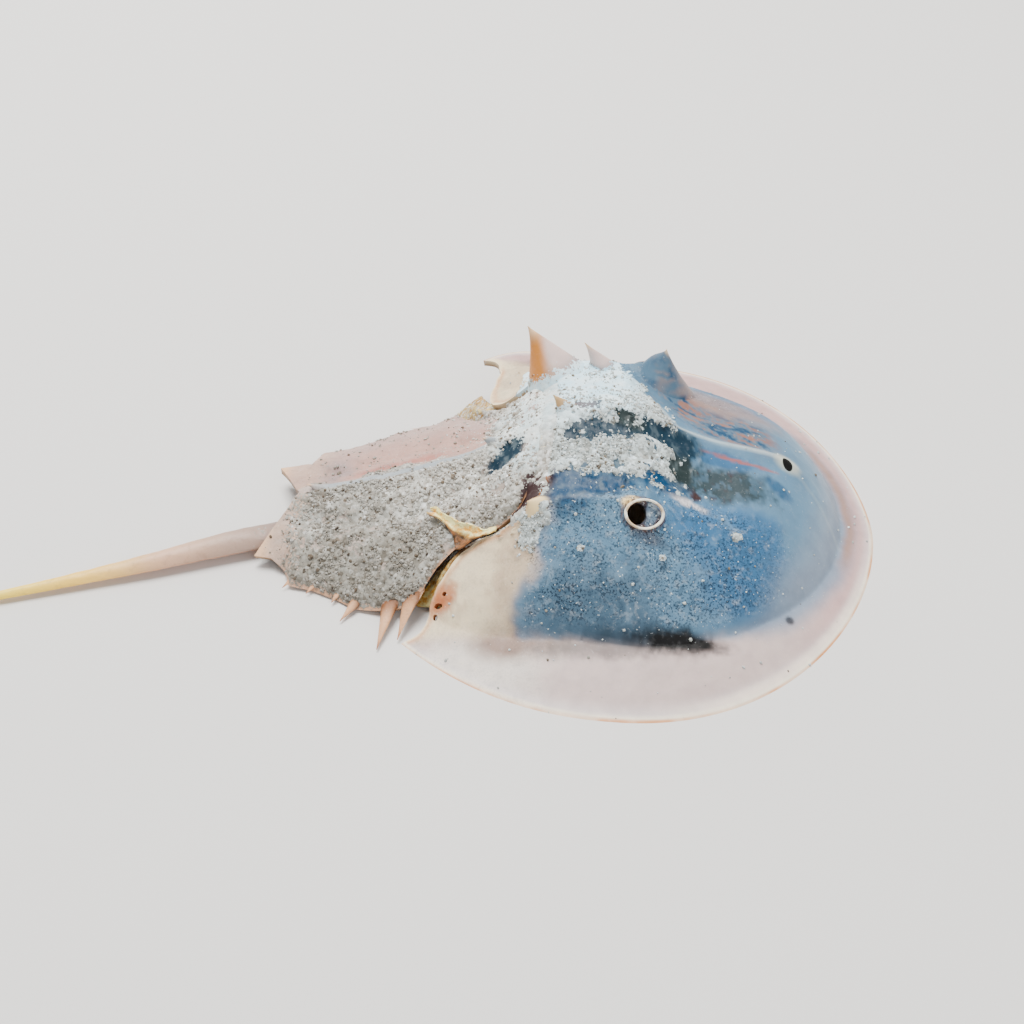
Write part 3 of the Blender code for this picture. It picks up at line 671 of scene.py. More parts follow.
def head_places(points):
    """Back, side and depth below the outer surface, in millimetres, for points of the head shield."""
    side = points[:, 1]
    back = TOTAL_LENGTH / 2 - points[:, 0]
    for _ in range(CURL_ROUNDS):
        back = TOTAL_LENGTH / 2 - points[:, 0] + curl_at(back, side)[1]
    return back, side, depth_below(head_surface, back, side, points)


def abdomen_places(points):
    """Back, side from its own middle line and depth, for points of the abdomen shield."""
    back = TOTAL_LENGTH / 2 - points[:, 0]
    side = points[:, 1] - abdomen_middle(back)
    return back, side, depth_below(abdomen_surface, back, side, points)


def eye_level(points, eye):
    """0 at an eye's middle and 1 on its lip, and the distance from the eye's plane."""
    point, rearward, sideward, normal = eye
    off = points - point
    level = np.hypot(off @ rearward / (EYE_LIP_LENGTH / 2), off @ sideward / (EYE_LIP_WIDTH / 2))
    return level, np.abs(off @ normal)


def head_crust(back, side, points):
    """0 on bare cuticle, 1 where sand crusts the head shield."""
    edge = within(back, side, HEAD_CRUST) + sway(points, 3.0, 11, 6.0)
    mask = smooth_step(edge / 2.2 + 0.5)
    wobble = sway(points, 1.5, 14, 2.0)
    for _, centre, radii, turn in HEAD_WINDOWS:
        mask = mask * (1 - 0.96 * blot(back, side, centre, radii, turn, 1.0, wobble))
    mask = mask * (1 - 0.75 * rise(lumps(points, 1.8, 19), 0.61, 0.06) * fall(side, 5, 4))
    strays = rise(lumps(points, 1.1, 17), 0.66, 0.05) * smooth_step((within(back, side, HEAD_CRUST) + 6) / 6)
    mask = np.maximum(mask, 0.8 * strays)
    for centre, radius in HEAD_CLUMPS:
        mask = np.maximum(mask, blot(back, side, centre, (radius, radius), 0, 0.5, wobble * 0.5))
    return mask


def head_tone(back, side, points):
    """Colours of the head shield's cuticle."""
    wobble = sway(points, 4.0, 21, 0.7)
    fine = sway(points, 1.2, 24, 1.2)
    near = np.abs(side)
    tone = np.tile(LILAC, (len(back), 1))
    margin = margin_level(back, side)
    tone = laid_on(
        tone,
        (smooth_step(-side / 10) * rise(back, 5, 12), LILAC_NEAR),
        (blot(back, -side, (63, 37), (11, 6), 10, 0.9, wobble), colour(213, 206, 198)),
        (rise(margin, 0.93, 0.06) * 0.55, PEARL),
        (blot(back, near, (58.0, 32.2), (7.5, 3.6), -8, 1.0, wobble), MAUVE))
    inside = dome_inside(back, side) + wobble * 0.12
    uneven_edge = sway(points, 8.0, 39, 14)
    rear = smooth_step((57.2 - back - 0.012 * (near - 26) ** 2 + uneven_edge) / 4.0)
    front = fall(back, 27, 12)
    flank = smooth_step((inside + 0.05 + 0.2 * front) / (0.1 + 0.3 * front)) * rear
    tone = laid_on(
        tone,
        (flank, FLANK),
        # painted shade: the flank darker low down at the rear of the dome's foot
        (flank * blot(back, near, (46, 30), (10, 5.5), 0, 1.0, wobble), FLANK_LOW),
        (flank * blot(back, near, (26, 16.5), (9, 4.5), 0, 1.0, wobble), FLANK_TOP),
        (flank * blot(back, near, (23, 21), (8, 7), 0, 1.2, wobble), FLANK_FRONT))
    fore = smooth_step((19 - back + (near - 15) * 0.3) / 12)
    tone = laid_on(
        tone,
        # painted light: the flank lighter towards the front of the dome
        (flank * fore * 0.95, FLANK_FORE),
        (fall(inside, 0.34, 0.3) * flank * fall(back, 22, 8) * 0.9, FLANK_EDGE))
    cheek = smooth_step((back - 54.2 - uneven_edge) / 3.4) * smooth_step((33.5 - near + wobble * 3) / 4)
    tone = laid_on(
        tone,
        (cheek, CHEEK),
        (cheek * rise(lumps(points, 2.2, 38), 0.48, 0.14) * 0.5, colour(190, 174, 156)),
        (cheek * blot(back, near, (57.5, 27), (4, 7), 0, 1.0, wobble) * 0.5, colour(182, 164, 148)),
        (blot(back, near, (32.4, 32.0), (6.6, 1.6), 4, 1.0, fine * 0.6) * (side < 0), DARK_STAIN_AND_SHADE),
        # painted shade along the near foot of the dome, towards the rear
        (blot(back, near, (43.0, 33.6), (10.0, 1.9), 3, 1.3, fine * 0.8) * 0.6 * (side < 0), DARK_STAIN_AND_SHADE),
        (blot(back, side, (15.3, -24.4), (0.7, 0.7), 0, 0.8) * 0.8, DARK_STAIN_AND_SHADE),
        (blot(back, side, (26.4, -8.2), (8.0, 3.3), -6, 0.8, fine * 0.9) * 0.92, OLIVE),
        (blot(back, side, (27.0, -8.0), (7.0, 3.0), -6, 0.8) * rise(lumps(points, 1.3, 33), 0.54, 0.05) * 0.6,
         FLANK * 0.62),
        (blot(back, side, (28.0, -8.4), (7.0, 3.0), -6, 0.8) * rise(lumps(points, 1.5, 36), 0.56, 0.05) * 0.8,
         UMBER),
        (blot(back, side, (32.4, -13.4), (2.8, 0.6), 8, 0.9, fine * 1.6) * 0.8, PEARL),
        (blot(back, side, (30.9, -11.7), (1.0, 0.9), 0, 0.5, fine * 0.4), UMBER),
        (blot(back, side, (27.0, -3.2), (6.0, 1.6), 0, 0.8, fine * 0.5) * 0.9, FLANK_TOP * 0.75),
        (blot(back, side, (24.0, -2.7), (5.4, 0.34), 5, 0.9, fine) * 0.75, colour(172, 118, 104)),
        (blot(back, side, (17.5, -6.4), (2.2, 1.2), 30, 0.8, fine * 0.5) * 0.8, FLANK_TOP * 0.6),
        (blot(back, side, (36.0, 15.5), (5.5, 5.0), 0, 0.8, wobble), FLANK * 0.72))
    streaks = lumps(np.stack([back * 0.35 + side * 0.5, side * 1.6 - back * 0.8, 0 * back], -1), 1.5, 31)
    far = blot(back, side, (28.5, 8.4), (11.5, 5.4), 32, 0.7, wobble * 0.5)
    tone = laid_on(
        tone,
        (far * 0.9, FLANK_LOW * 1.1),
        (far * rise(streaks, 0.54, 0.05) * 0.85 * (back < 34), RUST),
        (far * fall(streaks, 0.44, 0.05) * 0.85, NAVY),
        (far * bump(streaks - 0.5, 0.02) * 0.6, MAUVE),
        (blot(back, side, (27, 15), (10, 4), 25, 0.9, wobble) * 0.8, colour(160, 146, 142)))
    under_crust = smooth_step((within(back, side, HEAD_CRUST) + wobble * 2) / 1.5) * (back < 56)
    tone = laid_on(tone, (under_crust * 0.8, colour(108, 120, 126)))
    for name, centre, radii, turn in HEAD_WINDOWS:
        patch = blot(back, side, centre, (radii[0] + 1.2, radii[1] + 1.0), turn, 0.8, fine * 0.7)
        tone = laid_on(
            tone,
            (patch, TINTS[name]),
            (patch * rise(lumps(points, 1.1, 34), 0.54, 0.1) * 0.22, DUST))
    crest = distance_to_line(back, side, CREST_LINE)
    pale = fall(crest, 0.75, 0.6) * (0.12 + 0.4 * (back > 16.5))
    tone = laid_on(tone, (pale, colour(196, 204, 202)))
    halo = blot(back, side, (OCELLUS_BACK, 0), (2.1, 1.8), 0, 0.9)
    tone = laid_on(tone, (halo * 0.6, colour(206, 204, 186)))
    # Painted shade in the crease where the dome meets the flange at the front
    crease_shade = smooth_step((0.9 - np.abs(inside + 0.1) * 8) / 0.9) * fall(back, 14, 6) * rise(side, -14, 8)
    tone = laid_on(
        tone,
        (crease_shade * 0.85, colour(170, 146, 136)),
        (blot(back, side, (41.0, -17.9), (1.5, 0.8), 0, 0.6), CREAM * [1, 0.86, 0.6]),
        # painted shadow just under the right eye's lip
        (blot(back, side, (38.2, -21.5), (2.6, 0.9), 0, 1.1, fine * 0.5) * 0.6, UMBER),
        (blot(back, side, (55.4, -18.0), (1.6, 1.3), 0, 0.7), CREAM * [1, 0.9, 0.7]))
    hinge = distance_to_line(back, near, HEAD_REAR_EDGE)
    tone = laid_on(
        tone,
        (fall(hinge, 1.5, 1.2) * 0.55 * (back > 52), ORANGE),
        (fall(hinge, 0.5, 0.4) * (back > 52), CREAM),
        (blot(back, near, (73.5, 30.4), (3.0, 2.2), 40, 0.9) * (side > 0), CREAM),
        # painted highlight: the pale rim widened at the near front
        (rise(margin, 0.945, 0.03) * blot(back, -side, (12, 30), (22, 20), 0, 0.8), colour(226, 214, 203)),
        (rise(margin, 0.975, 0.012), colour(236, 222, 208)),
        (rise(margin, 0.988, 0.008) * (0.35 + 0.6 * rise(lumps(points, 6.0, 27), 0.3, 0.3)), ORANGE))
    return tone


def abdomen_crust(back, side, points):
    mask = np.clip(0.75 + (lumps(points, 2.5, 51) - 0.4) * 2.0, 0, 1)
    across = side / abdomen_half_width(back)
    far_band = smooth_step((across - 0.05 + sway(points, 3, 53, 0.2)) / 0.08) * rise(back, 61, 7)
    mask = mask * (1 - 0.75 * far_band) * (1 - 0.5 * rise(back, 90, 7))
    mask = mask * (1 - 0.75 * smooth_step((1.1 - np.abs(side - 0.2)) / 0.6) * rise(back, 63, 4))
    wobble = sway(points, 1.6, 54, 1.4)
    for centre, radii in ABDOMEN_WINDOWS:
        mask = mask * (1 - blot(back, side, centre, radii, 0, 1.2, wobble))
    edge = 1 - fall(np.abs(across), 1.0, 0.05) * fall(back, 99, 3)
    return mask * (1 - 0.75 * edge)


def abdomen_tone(back, side, points):
    across = side / abdomen_half_width(back)
    fine = sway(points, 1.4, 61, 1.4)
    window = blot(back, side, (61.3, -3.8), (3.6, 3.0), 0, 0.5, fine * 0.6)
    tone = np.tile(colour(178, 168, 160), (len(back), 1))
    tone = laid_on(
        tone,
        (rise(across, 0.02, 0.1), PINK),
        (rise(across, 0.4, 0.3), colour(184, 164, 158)))
    streak = fall(np.abs(across - 0.14 - fine * 0.05), 0.08, 0.08) * rise(back, 70, 5) * fall(back, 90, 6)
    tone = laid_on(
        tone,
        (streak * 0.7, colour(176, 128, 118)),
        (blot(back, side, (93, 5), (5, 5), 0, 0.8, fine * 0.5) * 0.6, colour(150, 144, 146)),
        (smooth_step((1.3 - np.abs(side - 0.1)) / 0.8) * 0.85, colour(166, 174, 178)),
        (window, SLATE),
        (blot(back, side, (56.6, -14.0), (2.4, 3.6), 0, 0.5, fine * 0.6), UMBER),
        (rise(np.abs(across), 0.95, 0.04) * 0.8, colour(200, 166, 140)),
        (rise(back, 90, 6) * 0.6, colour(196, 172, 156)),
        (rise(back, 98.5, 2.5), colour(214, 184, 156)),
        (window * rise(lumps(points, 1.1, 63), 0.52, 0.1) * 0.3, DUST))
    return tone


# Materials

class Reading:
    """A socket of a shader graph that takes part in Python expressions."""

    def __init__(self, graph, socket):
        self.graph = graph
        self.socket = socket

    def math(self, operation, *others, clamp=False):
        return self.graph.add("ShaderNodeMath", {"operation": operation, "use_clamp": clamp}, [self, *others])

    def __add__(self, other):
        return self.math("ADD", other)

    __radd__ = __add__

    def __mul__(self, other):
        return self.math("MULTIPLY", other)

    def __sub__(self, other):
        return self.math("SUBTRACT", other)

    def __rsub__(self, other):
        return (self * -1) + other

    def clamp(self):
        return self.math("ADD", 0.0, clamp=True)

    def steep(self, start, end):
        """0 at start, 1 at end, smooth between them."""
        return self.graph.add("ShaderNodeMapRange", {"interpolation_type": "SMOOTHSTEP"},
                              {"Value": self, "From Min": start, "From Max": end})


class Graph:
    """The node graph of one material."""

    def __init__(self, name):
        self.material = bpy.data.materials.new(name)
        self.material.use_nodes = True
        self.nodes = self.material.node_tree.nodes
        self.links = self.material.node_tree.links
        self.shader = self.nodes["Principled BSDF"]
        self.place = self.add("ShaderNodeTexCoord", {}, {}, "Object")

    def add(self, kind, settings, values, output=0):
        """Adds a node: its settings or a ramp's stops first, then the values or links of its sockets."""
        node = self.nodes.new(kind)
        for key, value in settings.items():
            if key == "stops":
                self.set_stops(node.color_ramp.elements, value)
            else:
                setattr(node, key, value)
        pairs = values.items() if isinstance(values, dict) else enumerate(values)
        for key, value in pairs:
            self.give(node.inputs[key], value)
        return Reading(self, node.outputs[output])

    def set_stops(self, elements, stops):
        while len(elements) < len(stops):
            elements.new(0.5)
        for element, (place, tint) in zip(elements, stops):
            element.position = place
            element.color = (*tint, 1)

    def give(self, socket, value):
        if isinstance(value, Reading):
            self.links.new(value.socket, socket)
        else:
            socket.default_value = value

    def feed(self, name, value):
        self.give(self.shader.inputs[name], value)

    def kept(self, name, output="Fac"):
        return self.add("ShaderNodeAttribute", {"attribute_name": name}, {}, output)

    def noise(self, size, detail=4.0, roughness=0.55):
        """Cloudy noise with features of about one size, in millimetres."""
        values = {"Vector": self.place, "Scale": 1000 / size, "Detail": detail, "Roughness": roughness}
        return self.add("ShaderNodeTexNoise", {}, values, "Fac")

    def cells(self, size, output="Distance"):
        return self.add("ShaderNodeTexVoronoi", {}, {"Vector": self.place, "Scale": 1000 / size}, output)

    def mix(self, factor, first, second, blend="MIX"):
        settings = {"data_type": "RGBA", "blend_type": blend}
        first, second = (value if isinstance(value, Reading) else (*value, 1) for value in (first, second))
        return self.add("ShaderNodeMix", settings, {0: factor, 6: first, 7: second}, 2)

    def ramp(self, factor, stops):
        return self.add("ShaderNodeValToRGB", {"stops": stops}, [factor])

    def sand_colours(self, size):
        """A shade of sand for each cell of about one size."""
        return self.ramp(self.add("ShaderNodeSeparateXYZ", {}, [self.cells(size, "Color")]), SAND_STOPS)

    def raise_bump(self, height, distance, strength):
        """Bump from a height between 0 and 1 that stands for a distance in millimetres."""
        values = {"Height": height, "Distance": distance * MM, "Strength": strength}
        self.feed("Normal", self.add("ShaderNodeBump", {}, values))


SAND_STOPS = [(0.0, colour(128, 122, 116)), (0.08, colour(166, 162, 156)), (0.3, colour(186, 184, 179)),
              (0.62, colour(196, 195, 191)), (0.88, colour(206, 206, 203)), (1.0, colour(232, 233, 231))]
SAND_CELL, DUST_CELL = 0.62, 0.5


def cuticle(name, sand_tint, gloss):
    """Cuticle coloured by the mesh's own tone, with dark specks and pale specks painted as glints, and
    crusted where crust is 1.
    """
    graph = Graph(name)
    tone = graph.kept("tone", "Color")
    crust = graph.kept("crust")
    speckled = graph.kept("speckle")
    cloud = graph.noise(3.2, 5.0)
    grit = graph.noise(0.45, 3.0)
    tone = graph.mix(cloud.steep(0.35, 0.7) * 0.3, tone, (0.62, 0.62, 0.66), "MULTIPLY")
    haze = graph.noise(1.1, 4.0).steep(0.5, 0.75) * (speckled * 0.11 + 0.03)
    tone = graph.mix(haze, tone, (0.9, 0.92, 0.95))
    crowd = graph.noise(5.0, 3.0).steep(0.28, 0.56)
    specks = graph.noise(0.34, 2.5, 0.6).steep(0.52, 0.58) * speckled * crowd
    tone = graph.mix(specks * 0.75, tone, colour(58, 70, 80))
    shades = graph.noise(1.6, 5.0, 0.6).steep(0.54, 0.66) * speckled * 0.4
    tone = graph.mix(shades, tone, colour(84, 100, 112))
    blooms = graph.noise(3.4, 6.0, 0.6).steep(0.50, 0.72) * speckled * 0.3
    tone = graph.mix(blooms, tone, colour(150, 172, 188))
    # Painted glints: tiny pale specks standing for light glinting off grains
    painted_glints = graph.noise(0.42, 3.0, 0.5).steep(0.67, 0.72) * (speckled * 0.6 + 0.10)
    tone = graph.mix(painted_glints.clamp(), tone, colour(226, 236, 240))
    # Painted shade: black disc where the middle eye's hole would show the dark inside
    bead = graph.kept("bead").steep(0.93, 1.07)
    tone = graph.mix(bead, tone, BLACK)
    sand = graph.sand_colours(SAND_CELL)
    patches = graph.noise(3.0, 6.0)
    sand = graph.mix(patches.steep(0.50, 0.68) * 0.6, sand, colour(216, 218, 216))
    sand = graph.mix(patches.steep(0.48, 0.30) * 0.6, sand, colour(150, 146, 140))
    sand = graph.mix(graph.noise(1.5, 4.0).steep(0.56, 0.66) * 0.35, sand, colour(176, 160, 146))
    # Painted shade in the gaps between sand cells
    gap_shade = graph.cells(SAND_CELL).steep(0.34, 0.66)
    sand = graph.mix(gap_shade * 0.14, sand, colour(112, 106, 100))
    paste = graph.kept("paste")
    # Painted shade in small pits of the crust
    pit_shade = graph.noise(1.3, 4.0).steep(0.62, 0.70) * (1 - paste * 0.7)
    sand = graph.mix(pit_shade * 0.45, sand, colour(104, 102, 100))
    sand = graph.mix(graph.noise(2.0, 3.0).steep(0.64, 0.70) * 0.55, sand, colour(226, 228, 228))
    paste_tint = graph.mix(cloud.steep(0.4, 0.65), colour(204, 222, 229), colour(226, 238, 243))
    sand = graph.mix(paste * 0.85, sand, paste_tint)
    sand = graph.mix(1.0, sand, sand_tint, "MULTIPLY")
    # Sand darkened by the stored attribute: painted shade, low on the abdomen's near side and towards its
    # rear
    sand = graph.mix(graph.kept("grime"), sand, (0.5, 0.48, 0.45), "MULTIPLY")
    cover = (crust + (grit - 0.5) * 1.5 + (graph.noise(1.2, 5.0) - 0.5) * 0.9).steep(0.40, 0.58)
    graph.feed("Base Color", graph.mix(cover, tone, sand))
    graph.feed("Roughness", (cover * (0.93 - gloss) + gloss + (cloud - 0.5) * 0.25 + bead * 0.3).clamp())
    height = (1 - graph.cells(SAND_CELL)) * cover * (1 - paste * 0.6)
    graph.raise_bump(height + grit * 0.35 * (cover * 0.8 + 0.2) + cloud * 0.3, 0.18, 0.6)
    graph.shader.inputs["Specular IOR Level"].default_value = 0.2
    return graph.material


def sand_grains(name, sand_tint):
    graph = Graph(name)
    shade = graph.kept("shade")
    stops = [(0.0, colour(116, 108, 101)), (0.05, colour(146, 134, 120)), (0.16, colour(180, 176, 169)),
             (0.5, colour(197, 195, 190)), (0.93, colour(208, 208, 204)), (1.0, colour(250, 250, 248))]
    tint = graph.mix(1.0, graph.ramp(shade, stops), sand_tint, "MULTIPLY")
    tint = graph.mix(graph.noise(0.2, 2.0).steep(0.4, 0.7) * 0.25, tint, colour(120, 112, 104))
    # Grains darkened by the stored attribute: painted shade, low on the abdomen's near side and towards its
    # rear
    tint = graph.mix(graph.kept("grime"), tint, (0.52, 0.50, 0.47), "MULTIPLY")
    graph.feed("Base Color", tint)
    graph.feed("Roughness", 0.72 - shade.steep(0.9, 1.0) * 0.45)
    graph.raise_bump(graph.noise(0.12, 2.0), 0.04, 0.6)
    return graph.material


def dried_skin(name):
    graph = Graph(name)
    fibre = graph.noise(0.9, 6.0)
    brown = graph.mix(fibre.steep(0.35, 0.65), colour(66, 38, 20), colour(150, 104, 62))
    gold = graph.mix(fibre.steep(0.35, 0.62), colour(220, 172, 92), colour(246, 226, 176))
    tint = graph.mix(graph.kept("golden"), brown, gold)
    dust = (graph.kept("crust") + (graph.noise(0.6, 4.0) - 0.5) * 1.1).steep(0.45, 0.6)
    tint = graph.mix(dust, tint, graph.sand_colours(DUST_CELL))
    graph.feed("Base Color", tint)
    graph.feed("Roughness", (0.55 + dust * 0.35 + (fibre - 0.5) * 0.3).clamp())
    graph.raise_bump(fibre + graph.cells(DUST_CELL) * dust * -0.6, 0.3, 0.8)
    return graph.material


def tail_finish(name):
    graph = Graph(name)
    share = graph.kept("share")
    tint = graph.ramp(share + (graph.noise(7.0, 4.0) - 0.5) * 0.08, [
        (0.0, colour(152, 138, 132)), (0.12, colour(178, 158, 146)), (0.26, colour(204, 174, 152)),
        (0.42, colour(244, 198, 122)), (0.6, colour(250, 208, 116)), (1.0, colour(244, 214, 150))])
    tint = graph.mix(graph.noise(1.1, 5.0).steep(0.52, 0.72) * 0.25, tint, colour(150, 124, 108))
    tint = graph.mix(graph.kept("flank") * 0.5, tint, colour(206, 150, 104))
    sand = graph.sand_colours(DUST_CELL)
    dust = (graph.kept("crust") + (graph.noise(0.7, 3.0) - 0.5) * 1.1).steep(0.45, 0.6)
    graph.feed("Base Color", graph.mix(dust, tint, graph.mix(0.75, sand, (0.48, 0.42, 0.38), "MULTIPLY")))
    graph.feed("Roughness", (0.46 + dust * 0.45).clamp())
    graph.raise_bump(graph.noise(0.5, 5.0) + (1 - graph.cells(DUST_CELL)) * dust, 0.12, 0.5)
    return graph.material


def finish(item, material, smooth_angle):
    item.data.materials.clear()
    item.data.materials.append(material)
    select_only(item)
    bpy.ops.object.shade_smooth_by_angle(angle=math.radians(smooth_angle))
    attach(item, "root")
    return item


# The pieces

def make_eye_lip(eye):
    """The raised, worn rim round the right eye."""
    point, rearward, sideward, normal = eye
    deselect()
    bpy.ops.mesh.primitive_torus_add(major_segments=72, minor_segments=16, major_radius=1, minor_radius=0.085)
    lip = name_item("right_eye_lip")
    ring = read_points(lip)
    wear = unevenness(ring * 3, 1.0, 71)[:, None] - 0.5
    u = ring[:, 0] * EYE_LIP_LENGTH / 2
    w = ring[:, 1] * EYE_LIP_WIDTH / 2
    h = ring[:, 2] * 4.6 + 0.1
    points = point + u[:, None] * rearward + w[:, None] * sideward + h[:, None] * normal
    write_points(lip, (points + wear * normal * 0.5) * MM)
    face_outwards(lip)
    store(lip, "lip", np.ones(len(points)))
    return lip


def make_head_shield():
    def place(across, along):
        return head_surface(*head_plan(across, along))

    head = sheet("head_cuticle", 220, 176, place)
    right_eye = frame_on(head_surface, EYE_BACK, -EYE_SIDE)
    holes = [(right_eye, EYE_HOLE, EYE_HOLE_SHIFT)]
    for back, side, length, width in CHEEK_HOLES:
        holes.append((frame_on(head_surface, back, side), (length, width), 0))
    cut_holes(head, holes)

    points = read_points(head) / MM
    back, side, _ = head_places(points)
    crust = head_crust(back, side, points)
    thickness = 0.18 + 0.75 * lumps(points, 1.9, 81) + 0.35 * (unevenness(points, 0.62, 85) - 0.5)
    relief = crust * np.clip(thickness, 0, 1.2)
    relief = relief + sway(points, 2.4, 87, 0.22) * smooth_step((1 - margin_level(back, side)) / 0.1)
    pane, off_plane = eye_level(points, right_eye)
    relief = relief - 0.3 * fall(pane, 1.0, 0.3) * (off_plane < HOLE_DEPTH)
    left_eye = frame_on(head_surface, EYE_BACK, EYE_SIDE)
    lens, off_plane = eye_level(points, left_eye)
    relief = relief + 0.55 * np.sqrt(np.clip(1 - lens ** 2, 0, 1)) * (off_plane < HOLE_DEPTH)
    relief = relief * smooth_step(distance_to_line(back, np.abs(side), HEAD_REAR_EDGE) / 1.2)
    thicken(head, WALL, relief)

    pieces = [head, make_eye_lip(right_eye)]
    for name, root in HEAD_SPINES.items():
        pieces.append(flared_spine(name, head_surface, head_middle, root))
    head = join(pieces, "head_cuticle")

    points = read_points(head) / MM
    share, lip = stored(head, "share"), stored(head, "lip")
    back, side, depth = head_places(points)
    plate = (share == 0) & (lip == 0)
    below = rise(depth / WALL, 0.45, 0.2) * plate
    up_spine = smooth_step(share / np.where(np.abs(side) < 12, 0.75, 0.3))
    crust = head_crust(back, side, points) * (1 - below) * (1 - up_spine) * (1 - lip)
    tone = head_tone(back, side, points)
    # The underside gets its tan, darkened as painted shade under the shell
    tone = laid_on(tone, (below, UNDERSIDE_TAN_AND_SHADE))
    on_head = smooth_step(share / 0.55)
    tall = (side > 10) * (back > 42)
    behind = smooth_step((back - 54.6 - 3.4 * share) / 1.6)
    tone = laid_on(
        tone,
        (smooth_step(share / 0.3) * tall, colour(214, 196, 190)),
        (smooth_step(share / 0.2) * tall * behind, colour(207, 155, 102)),
        (tall * rise(share, 0.55, 0.3), colour(228, 200, 170)),
        (on_head * (np.abs(side) < 5) * 0.8, colour(204, 178, 142)),
        (rise(share, 0.72, 0.2) * (back < 42), colour(226, 206, 180)))
    eye, off_plane = eye_level(points, right_eye)
    near_eye = (off_plane < EYE_DEPTH) * plate
    in_eye = fall(eye, 0.96, 0.1) * near_eye
    rearward = (points - right_eye[0]) @ right_eye[1]
    tissue = smooth_step((rearward + 0.9 + sway(points, 1.2, 91, 2)) / 0.8)
    brown_ring = bump(eye - 0.9, 0.06) + bump(eye - 1.16, 0.07)
    tone = laid_on(
        tone,
        (in_eye, colour(128, 142, 156)),
        (in_eye * rise(lumps(points, 1.3, 97), 0.52, 0.08), colour(186, 198, 206)),
        (in_eye * tissue * 0.85, colour(86, 60, 50)),
        # painted shade: the eye hole's inner wall painted black, as the dark inside of the shell
        (in_eye * rise(depth, 0.75, 0.3), BLACK),
        (brown_ring * 0.85 * near_eye, colour(128, 98, 76)),
        (lip, colour(232, 228, 216)),
        (lip * rise(lumps(points, 1.6, 93), 0.5, 0.1) * 0.6, colour(196, 160, 112)))
    for centre in RUSTY_HOLES:
        rust = blot(back, side, centre, (2.0, 1.6), 0, 0.9, lumps(points, 1, 95) - 0.5)
        tone = laid_on(tone, (rust * 0.7, colour(176, 120, 84)))
    lens, off_plane = eye_level(points, left_eye)
    on_lens = fall(lens, 1.0, 0.12) * (off_plane < EYE_DEPTH) * plate
    tone = laid_on(tone, (on_lens * (1 - below), colour(74, 66, 62)))
    flank = rise(dome_inside(back, side), 0.03, 0.1) * fall(back, 57, 2)
    speckle = flank * rise(np.abs(side), 12, 3) * rise(back, 12, 14)
    speckle = speckle * (1 - 0.6 * (side > 0))
    speckle = np.clip(speckle + rise(back, 50, 4) * 0.14, 0, 1) * (1 - below) * (1 - lip) * (share < 0.1)
    for _, centre, radii, turn in HEAD_WINDOWS:
        speckle = speckle * (1 - 0.8 * blot(back, side, centre, radii, turn, 0.8))
    store(head, "tone", tone)
    store(head, "crust", crust)
    store(head, "speckle", speckle)
    # Painted shade: the middle eye is a black disc painted on the shell, standing for the dark inside of its
    # hole
    ocellus = np.hypot((back - OCELLUS_BACK) / OCELLUS_RADII[0], (side - OCELLUS_SIDE) / OCELLUS_RADII[1])
    store(head, "bead", np.clip(2 - ocellus, 0, 2) * (1 - below))
    paste = smooth_step((side + 4.5 + sway(points, 3.5, 99, 12)) / 7) * rise(back, 38, 6)
    store(head, "paste", paste)
    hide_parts("head_shield")
    return finish(head, cuticle("head_cuticle", (0.87, 1.0, 1.06), 0.46), 50)


def make_abdomen_shield():
    def place(across, along):
        return abdomen_surface(*abdomen_plan(across, along))

    abdomen = sheet("abdomen_cuticle", 150, 150, place)
    points = read_points(abdomen) / MM
    back, side, _ = abdomen_places(points)
    crust = abdomen_crust(back, side, points)
    thickness = 0.15 + 0.8 * lumps(points, 2.0, 101) + 0.22 * (unevenness(points, 0.6, 103) - 0.5)
    across = np.abs(side) / abdomen_half_width(back)
    edge = fall(across, 1, 0.08) * rise(back, 55.4, 1.5) * fall(back, 101, 4)
    relief = (crust * np.clip(thickness, 0, 1.1) + sway(points, 2.2, 105, 0.25)) * edge
    thicken(abdomen, WALL, relief)
    pieces = [abdomen]
    for name, root in ABDOMEN_SPINES.items():
        slim, hollow = (1.7, 1.5) if "crest" in name else (1.3, 1.15)
        pieces.append(flared_spine(name, abdomen_surface, abdomen_middle, root, slim, hollow))
    abdomen = join(pieces, "abdomen_cuticle")
    points = read_points(abdomen) / MM
    share = stored(abdomen, "share")
    back, side, depth = abdomen_places(points)
    below = rise(depth / WALL, 0.45, 0.2) * (share == 0)
    # The underside gets its tan, darkened as painted shade under the shell
    tone = laid_on(abdomen_tone(back, side, points), (below, UNDERSIDE_TAN_AND_SHADE))
    on_edge = np.abs(side) / abdomen_half_width(back) > 0.5
    tone = laid_on(
        tone,
        (smooth_step(share / 0.2) * on_edge, colour(140, 108, 86)),
        (rise(share, 0.15, 0.35) * on_edge, colour(204, 170, 142)),
        (rise(share, 0.75, 0.25) * on_edge * 0.8, colour(160, 116, 100)),
        (rise(share, 0.6, 0.3) * ~on_edge, colour(214, 186, 160)))
    store(abdomen, "tone", tone)
    up_spine = smooth_step(share / np.where(on_edge, 0.2, 0.9))
    store(abdomen, "crust", abdomen_crust(back, side, points) * (1 - below) * (1 - up_spine))
    store(abdomen, "speckle", 0.15 * (1 - below))
    paste = smooth_step((66 - back + sway(points, 3.5, 109, 10)) / 7) * rise(side, -12, 6)
    store(abdomen, "paste", paste * 0.7)
    # Painted shade: the abdomen's sand darker on its near low side and towards its rear
    grime = 0.75 * rise(back, 66, 20) + 0.7 * smooth_step((-side - 7) / 9) + sway(points, 5.0, 107, 0.5)
    store(abdomen, "grime", np.clip(grime - 0.05, 0, 1))
    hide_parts("abdomen_shield")
    return finish(abdomen, cuticle("abdomen_cuticle", (0.99, 1.0, 0.98), 0.5), 50)


